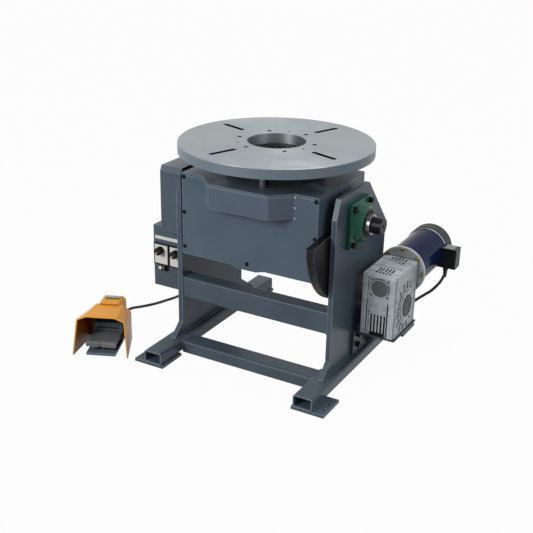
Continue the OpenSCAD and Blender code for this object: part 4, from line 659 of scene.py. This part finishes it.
# the cast rails, the ring round the worm's bore and the web above the fins on the front face
for x, width in ((0.3145, 0.016), (0.4040, 0.019)):
    padded_block(shape, (width, 4 * rib_t, 0.196), Matrix.Translation((x, case_front, 0.2405)), 0.0016)
for x in (0.327, 0.3885):
    padded_block(shape, (0.0035, 3 * rib_t, 0.110), Matrix.Translation((x, case_front, 0.197)), 0.0008)
for z in (0.236, 0.214):
    padded_block(shape, (0.060, rib_t, rib_t), Matrix.Translation((worm_x - 0.002, case_front, z)), 0.001)
padded_block(shape, (0.108, 3 * rib_t, 0.009), Matrix.Translation((worm_x, case_front, 0.3385)), 0.0014)
ring_on(shape, Vector((worm_x, case_front, worm_z)), to_front, 0.0305, 0.0272, 0.004)
# ribs that run out from the output hub on the right face, and the rim round that face
hub_ribs = 16
hub_rib_start = 0.056
hub_rib_len = 0.026
hub_rib_turn = 0.1
rib_margin = 0.012
for i in range(hub_ribs):
    turn = tau * i / hub_ribs + hub_rib_turn
    middle = hub_rib_start + hub_rib_len / 2
    y = out_y + middle * sin(turn)
    z = out_z + middle * cos(turn)
    inside_y = case_lo.y + rib_margin < y < case_hi.y - rib_margin
    inside_z = case_lo.z + rib_margin < z < case_hi.z - rib_margin
    if inside_y and inside_z:
        seat = Matrix.Translation((side_face, y, z)) @ Matrix.Rotation(-turn, 4, "X")
        padded_block(shape, (2 * rib_t, rib_t, hub_rib_len), seat, 0.001)
ring_on(shape, Vector((side_face, out_y, out_z)), to_right, 0.058, 0.0495, 0.0035)
face_rim = 0.007
face_depth = case_hi.y - case_lo.y
face_height = case_hi.z - case_lo.z
for y in (case_lo.y + face_rim / 2, case_hi.y - face_rim / 2 - 0.004):
    seat = Matrix.Translation((side_face, y, (case_lo.z + case_hi.z) / 2))
    padded_block(shape, (rib_t, face_rim, face_height - 0.008), seat, 0.0012)
for z in (case_lo.z + face_rim / 2 + 0.002, case_hi.z - face_rim / 2 - 0.002):
    seat = Matrix.Translation((side_face, (case_lo.y + case_hi.y) / 2, z))
    padded_block(shape, (rib_t, face_depth - 0.012, face_rim), seat, 0.0012)
# slanting cooling ribs and two cross webs on the top face
cooling_ribs = 7
cooling_step = 0.0125
for i in range(cooling_ribs):
    x = 0.322 + cooling_step * i
    seat = Matrix.Translation((x, 0.055, case_hi.z)) @ Matrix.Rotation(radians(-12), 4, "Z")
    padded_block(shape, (0.0035, 0.050, rib_t), seat, 0.001)
for y in (-0.020, 0.024, 0.088):
    padded_block(shape, (0.100, rib_t, rib_t), Matrix.Translation((worm_x, y, case_hi.z)), 0.001)
mesh_piece("gearbox_ribs", shape, cast_aluminium, "frame")

# the dished black cap over the output bore, with the shaft's end in it
dish = [(0, 0.0355), (0.0012, 0.0355), (0.002, 0.0345), (0.002, 0.030), (0.0008, 0.029),
        (0.0008, 0.020), (0.0016, 0.019), (0.0016, 0.012), (0.0006, 0.011), (0.0006, 0.005)]
turned("output_cap_face", dish, (case_hi.x, out_y, out_z), (1, 0, 0), black_nylon, "frame",
       48)
# the bare ring where the motor's end shield meets its shell
shell_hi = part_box("motor_shell")[1]
shield = [(0, 0.0690), (0.0006, 0.0712), (0.0034, 0.0712), (0.004, 0.0690)]
turned("motor_end_ring", shield, (worm_x, shell_hi.y - 0.004, worm_z), (0, 1, 0), turned_aluminium,
       "frame", 64)
# painted highlight: a satin grey plate on the terminal box's top stands in for the light that top catches
painted_highlight_grey = moulded("painted_highlight_grey_abs", "7A7C7D", "8A8C8D", 0.4, 0.002, 0.0001)
term_lo, term_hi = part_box("terminal_box")
shape = bmesh.new()
seat = Matrix.Translation((term_hi.x - 0.019, (term_lo.y + term_hi.y) / 2, term_hi.z))
padded_block(shape, (0.034, term_hi.y - term_lo.y - 0.004, 0.0024), seat, 0.0008)
mesh_piece("terminal_box_top_highlight", shape, painted_highlight_grey, "frame")
# nitrile seals between the bearings' housings and their inner rings
housing_out = 0.316
trunnion_y = -0.062
trunnion_z = 0.505
# nitrile rubber: matt black
nitrile = moulded("nitrile_rubber", "040405", "08080A", 0.5, 0.002, 0.00005)
seal = [(0, 0.0440), (0.0006, 0.0440), (0.001, 0.0430), (0.0002, 0.0400), (0.0012, 0.0340)]
turned("right_seal", seal, (housing_out, trunnion_y, trunnion_z), (1, 0, 0), nitrile, "frame",
       48)
turned("left_seal", seal, (-housing_out, trunnion_y, trunnion_z), (-1, 0, 0), nitrile, "frame",
       48)
# the shelf is a pressed angle in dark enamel
shelf_enamel = enamel("dark_grey_green_enamel", "2A3436", "333E40", "616C6E", 0.4, 0.005, 0.00012)
dress(shelf_enamel, "gearbox_shelf")


# Tilting body
# A box welded from 3 mm sheet, with a thick top plate, a screwed front cover and a bent hood
# tacked on its front, all in the frame's enamel, a shade lighter.
body_enamel = enamel("blue_grey_body_enamel", "4B5966", "52606E", "8592A0", 0.32, 0.006, 0.00015)
dress(body_enamel, "tilt_housing", "top_plate", "front_cover", "hood")
hood_lo, hood_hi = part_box("hood")
# bare weld metal, brushed: bright grey
weld_steel = turned_metal("brushed_weld_steel", "94999D", "B4B8BB", 0.36, 0.003, 0.0002)
seam = ((hood_lo.x, hood_hi.y, hood_lo.z + 0.026), (hood_lo.x, hood_hi.y, hood_hi.z - 0.002), 0.005)
bead_piece("hood_seam", [seam], body_enamel, "tilt_body")
tack_half = 0.004
hood_tacks = []
for share in (0.03, 0.5, 0.97):
    z = hood_lo.z + share * (hood_hi.z - hood_lo.z)
    hood_tacks.append(((hood_hi.x, hood_hi.y, z - tack_half), (hood_hi.x, hood_hi.y, z + tack_half), 0.006))
bead_piece("hood_tacks", hood_tacks, weld_steel, "tilt_body")


# Table and its drive
# A cast iron plate, faced and bored on a lathe and left bare, its rim sprayed with the body's
# enamel, on a hub and slewing ring.
table_lo, table_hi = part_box("table")
table_middle = (table_lo + table_hi) / 2
table_r = (table_hi.x - table_lo.x) / 2
rim_chamfer = 0.0022
# facing leaves a groove every 0.4 mm, drawn every 5 mm so that it shows
facing_pitch = 0.005
wave_turn = tau / 20
faced_iron, tree, shader, place = new_finish("face_turned_cast_iron")
centred = add(tree, "VectorMath", {0: place, 1: tuple(table_middle)}, operation="SUBTRACT")
rings = add(tree, "TexWave", {"Vector": centred.outputs[0], "Scale": wave_turn / facing_pitch,
                              "Distortion": 0.6, "Detail": 2.0, "Detail Scale": 2.0},
            wave_type="RINGS", rings_direction="Z")
cloud = add(tree, "TexNoise", {"Vector": place, "Scale": 1 / 0.09, "Detail": 6.0, "Roughness": 0.6})
stain = add(tree, "MapRange", {0: cloud.outputs["Fac"], 1: 0.35, 2: 0.68})
iron = add(tree, "Mix", {0: stain.outputs[0], 6: linear("8C9396"), 7: linear("989FA2")},
           data_type="RGBA")
apart = add(tree, "SeparateXYZ", {0: centred.outputs[0]})
flat_place = add(tree, "CombineXYZ", {0: apart.outputs[0], 1: apart.outputs[1]})
reach = add(tree, "VectorMath", {0: flat_place.outputs[0]}, operation="LENGTH")
outer = add(tree, "Math", {0: reach.outputs["Value"], 1: table_r - 0.006}, operation="GREATER_THAN")
rim_top = (table_hi.z - table_lo.z) / 2 - rim_chamfer
below = add(tree, "Math", {0: apart.outputs[2], 1: rim_top}, operation="LESS_THAN")
rim = add(tree, "Math", {0: outer.outputs[0], 1: below.outputs[0]}, operation="MULTIPLY")
skin_colour = add(tree, "Mix", {0: rim.outputs[0], 6: iron.outputs[2], 7: linear("5E6C78")},
                  data_type="RGBA")
# painted shade: the walls of the holes and slots outside the bore, and the underside out to the rim, are
# painted near black
table_bore_r = 0.090
facet = add(tree, "SeparateXYZ", {0: add(tree, "TexCoord").outputs["Normal"]})
steep = add(tree, "Math", {0: facet.outputs[2], 1: 0.5}, operation="LESS_THAN")
past_bore = add(tree, "Math", {0: reach.outputs["Value"], 1: table_bore_r + 0.004},
                operation="GREATER_THAN")
in_rim = add(tree, "Math", {0: reach.outputs["Value"], 1: table_r - 0.006}, operation="LESS_THAN")
drilled = add(tree, "Math", {0: past_bore.outputs[0], 1: in_rim.outputs[0]}, operation="MULTIPLY")
hole_shade = add(tree, "Math", {0: drilled.outputs[0], 1: steep.outputs[0]}, operation="MULTIPLY")
skin_colour = add(tree, "Mix", {0: hole_shade.outputs[0], 6: skin_colour.outputs[2],
                                7: linear("101214")}, data_type="RGBA")
bare = add(tree, "MapRange", {0: rim.outputs[0], 3: 1.0, 4: 0.0})
sheen = add(tree, "MapRange", {0: cloud.outputs["Fac"], 1: 0.3, 2: 0.7, 3: 0.4, 4: 0.46})
rounded = add(tree, "Bevel", {"Radius": 0.001}, samples=6)
grooves = add(tree, "Bump", {"Strength": 0.12, "Distance": 0.0002, "Height": rings.outputs["Fac"],
                             "Normal": rounded.outputs[0]})
round_axis = add(tree, "Tangent", direction_type="RADIAL", axis="Z")
shader.inputs["Anisotropic"].default_value = 0.55
shader.inputs["Anisotropic Rotation"].default_value = 0.25
tree.links.new(skin_colour.outputs[2], shader.inputs["Base Color"])
tree.links.new(bare.outputs[0], shader.inputs["Metallic"])
tree.links.new(sheen.outputs[0], shader.inputs["Roughness"])
tree.links.new(grooves.outputs[0], shader.inputs["Normal"])
tree.links.new(round_axis.outputs[0], shader.inputs["Tangent"])
dress(faced_iron, "table")
# grey enamel over a rough casting: satin, paler on its edges
drive_enamel = enamel("grey_drive_enamel", "3A3E42", "43474B", "70757A", 0.4, 0.005, 0.00015)
dress(drive_enamel, "spin_motor")
# painted shade: the slewing ring in the shade under the table is painted nearly black, with paler edges
# that are part wear and part painted highlight
slew_ring_painted_shade = enamel("slewing_ring_painted_shade_black", "1C1E20", "242628", "4A4D50", 0.36, 0.005, 0.0001)
dress(slew_ring_painted_shade, "slew_ring")


# Controls
# A folded sheet box and bearing cover in the frame's enamel, two moulded dial modules with
# printed plates, fluted knobs, a selector and a white push button.
# enamel on smooth sheet: even, with a softer peel than on the frame
sheet_enamel = enamel("blue_grey_sheet_enamel", "46535F", "4E5B67", "76828E", 0.33, 0.006, 0.0001)
dress(sheet_enamel, "bearing_cover", "control_box", "control_panel")
# printed plate: white film with a satin face
printed_film = moulded("printed_white_film", "CFCFCC", "DADAD7", 0.34, 0.003, 0.00005)
dress(printed_film, "scale_plates")
# white acetal: bright, with a soft gloss
white_acetal = moulded("moulded_white_acetal", "C9C9C2", "D6D6CF", 0.3, 0.002, 0.00005)
dress(white_acetal, "push_button")
# printing ink: matt black
ink = moulded("matt_black_ink", "101112", "18191A", 0.6, 0.002, 0.00002)

ink_t = 0.00015
print_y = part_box("scale_plates")[0].y
dial_centres = []
for name in ("left_dial", "right_dial"):
    lo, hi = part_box(name)
    dial_centres.append(((lo.x + hi.x) / 2, (lo.z + hi.z) / 2))
dial_sweep = radians(280)
scale_in_r = 0.0142
scale_steps = 20


def printed_scale(name, centre):
    """Ticks round a knob, with a longer one at each fifth of the scale."""
    shape = bmesh.new()
    middle = Vector((centre[0], print_y - ink_t / 2, centre[1]))
    for i in range(scale_steps + 1):
        turn = -dial_sweep / 2 + dial_sweep * i / scale_steps
        long = i % 4 == 0
        size = (0.0006 if long else 0.0004, ink_t, 0.0024 if long else 0.0014)
        place = Matrix.Translation(middle) @ Matrix.Rotation(turn, 4, "Y")
        place = place @ Matrix.Translation((0, 0, scale_in_r + size[2] / 2))
        bmesh.ops.create_cube(shape, size=1, matrix=place @ Matrix.Diagonal((*size, 1)))
    return mesh_piece(name, shape, ink, "frame")


def printed_number(name, word, centre, turn, radius, height):
    """A plain number beside its tick."""
    text = bpy.data.curves.new(name, "FONT")
    text.body = word
    text.size = height
    text.align_x = "CENTER"
    text.align_y = "CENTER"
    text.extrude = ink_t / 2
    text.resolution_u = 3
    drawn = bpy.data.objects.new(name + "_drawn", text)
    shown.link(drawn)
    bpy.context.view_layer.update()
    mesh = bpy.data.meshes.new_from_object(drawn.evaluated_get(bpy.context.evaluated_depsgraph_get()))
    bpy.data.objects.remove(drawn)
    spot = Vector((centre[0] + radius * sin(turn), print_y - ink_t / 2, centre[1] + radius * cos(turn)))
    mesh.transform(Matrix.Translation(spot) @ Matrix.Rotation(pi / 2, 4, "X"))
    mesh.name = name
    return new_piece(name, mesh, ink, "frame")


for i, centre in enumerate(dial_centres):
    printed_scale("dial_scale_%d" % (i + 1), centre)
    for number in (0, 2, 8, 10):
        turn = -dial_sweep / 2 + dial_sweep * number / 10
        printed_number("dial_%d_number_%d" % (i + 1, number), str(number), centre, turn, 0.0205, 0.005)


# white inlays on the knobs and the selector, let into their faces
def inlay(name, node_name, turn, start, length, body):
    """A thin white line on the front of a knob, from a start radius outwards."""
    lo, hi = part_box(node_name)
    centre = Vector(((lo.x + hi.x) / 2, lo.y, (lo.z + hi.z) / 2))
    seat = Matrix.Translation(centre) @ Matrix.Rotation(turn, 4, "Y")
    shape = bmesh.new()
    padded_block(shape, (0.0022, 0.0008, length),
                 seat @ Matrix.Translation((0, 0, start + length / 2)), 0.0003)
    return mesh_piece(name, shape, white_acetal, body)


dial_rest = -dial_sweep / 2
inlay("left_dial_pointer", "left_dial", dial_rest, 0.002, 0.0105, "speed_dial_left")
inlay("right_dial_pointer", "right_dial", dial_rest, 0.002, 0.0105, "speed_dial_right")
selector_rest = radians(-30)
inlay("selector_pointer", "selector", selector_rest, 0.002, 0.008, "mode_selector")


# Foot switch
# A cast orange guard over a grey pedal and a blue-grey base, with a plain label plate on its
# neck, all screwed together from below.
# orange enamel: warm and even, with painted shade that turns it brown deep inside the guard
guard_enamel = enamel("orange_enamel_on_casting", "DA9020", "E49C2A", "F2B04C", 0.34, 0.004, 0.0003,
                      0.16, "7A3E0C")
dress(guard_enamel, "foot_guard")
# grey enamel over a rough casting, paler on its edges, part rubbed bare where shoes tread and part painted
# highlight
pedal_enamel = enamel("grey_enamel_on_casting", "5A5D60", "74777A", "A2A4A6", 0.42, 0.004, 0.0006)
dress(pedal_enamel, "foot_pedal")
# blue-grey enamel over a rough casting: satin
base_enamel = enamel("blue_grey_enamel_on_casting", "52606C", "5C6975", "8B96A0", 0.38, 0.004, 0.0003)
dress(base_enamel, "foot_base")
foot_place = Matrix.Translation(foot_seat) @ Matrix.Rotation(foot_turn, 4, "Z")
pedal_top = 0.041
tread_w = 0.045
tread_len = 0.078
shape = bmesh.new()
for side in (-1, 1):
    seat = foot_place @ Matrix.Translation((side * (tread_w / 2 + 0.0015), 0.054, pedal_top + 0.0003))
    padded_block(shape, (tread_w, tread_len, 0.0016), seat, 0.0006)
mesh_piece("pedal_treads", shape, pedal_enamel, "pedal")

# anodised aluminium label, left blank: pale blue-grey, satin
label_film = moulded("blank_anodised_label", "7F8EA0", "8B99AA", 0.34, 0.004, 0.00005)
label_size = (0.050, 0.014, 0.0006)
shape = bmesh.new()
seat = foot_place @ Matrix.Translation((0, 0.174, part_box("foot_guard")[1].z - 0.0001))
padded_block(shape, label_size, seat, 0.0002)
mesh_piece("blank_label", shape, label_film, "frame")

spring_r = 0.0088
spring_wire_r = 0.0012
spring_turns = 5
spring_lo, spring_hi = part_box("pedal_spring")
spring_middle = (spring_lo + spring_hi) / 2
spring_coil = bpy.data.curves.new("return_spring", "CURVE")
spring_coil.dimensions = "3D"
spring_coil.bevel_depth = spring_wire_r
spring_coil.bevel_resolution = 3
spring_coil.use_fill_caps = True
spring_steps = 24 * spring_turns
wire = spring_coil.splines.new("POLY")
wire.points.add(spring_steps)
for i, point in enumerate(wire.points):
    t = i / spring_steps
    open_share = min(max((t - 0.14) / 0.72, 0), 1)
    rise = spring_hi.z - spring_lo.z - 2 * spring_wire_r
    turn = tau * spring_turns * t
    point.co = (spring_middle.x + spring_r * cos(turn), spring_middle.y + spring_r * sin(turn),
                spring_lo.z + spring_wire_r + open_share * rise, 1)
drawn = bpy.data.objects.new("return_spring_drawn", spring_coil)
shown.link(drawn)
bpy.context.view_layer.update()
mesh = bpy.data.meshes.new_from_object(drawn.evaluated_get(bpy.context.evaluated_depsgraph_get()))
bpy.data.objects.remove(drawn)
mesh.name = "return_spring"
mesh.materials.clear()
spring = new_piece("return_spring", mesh, spring_wire, "frame")
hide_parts("pedal_spring")
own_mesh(spring)
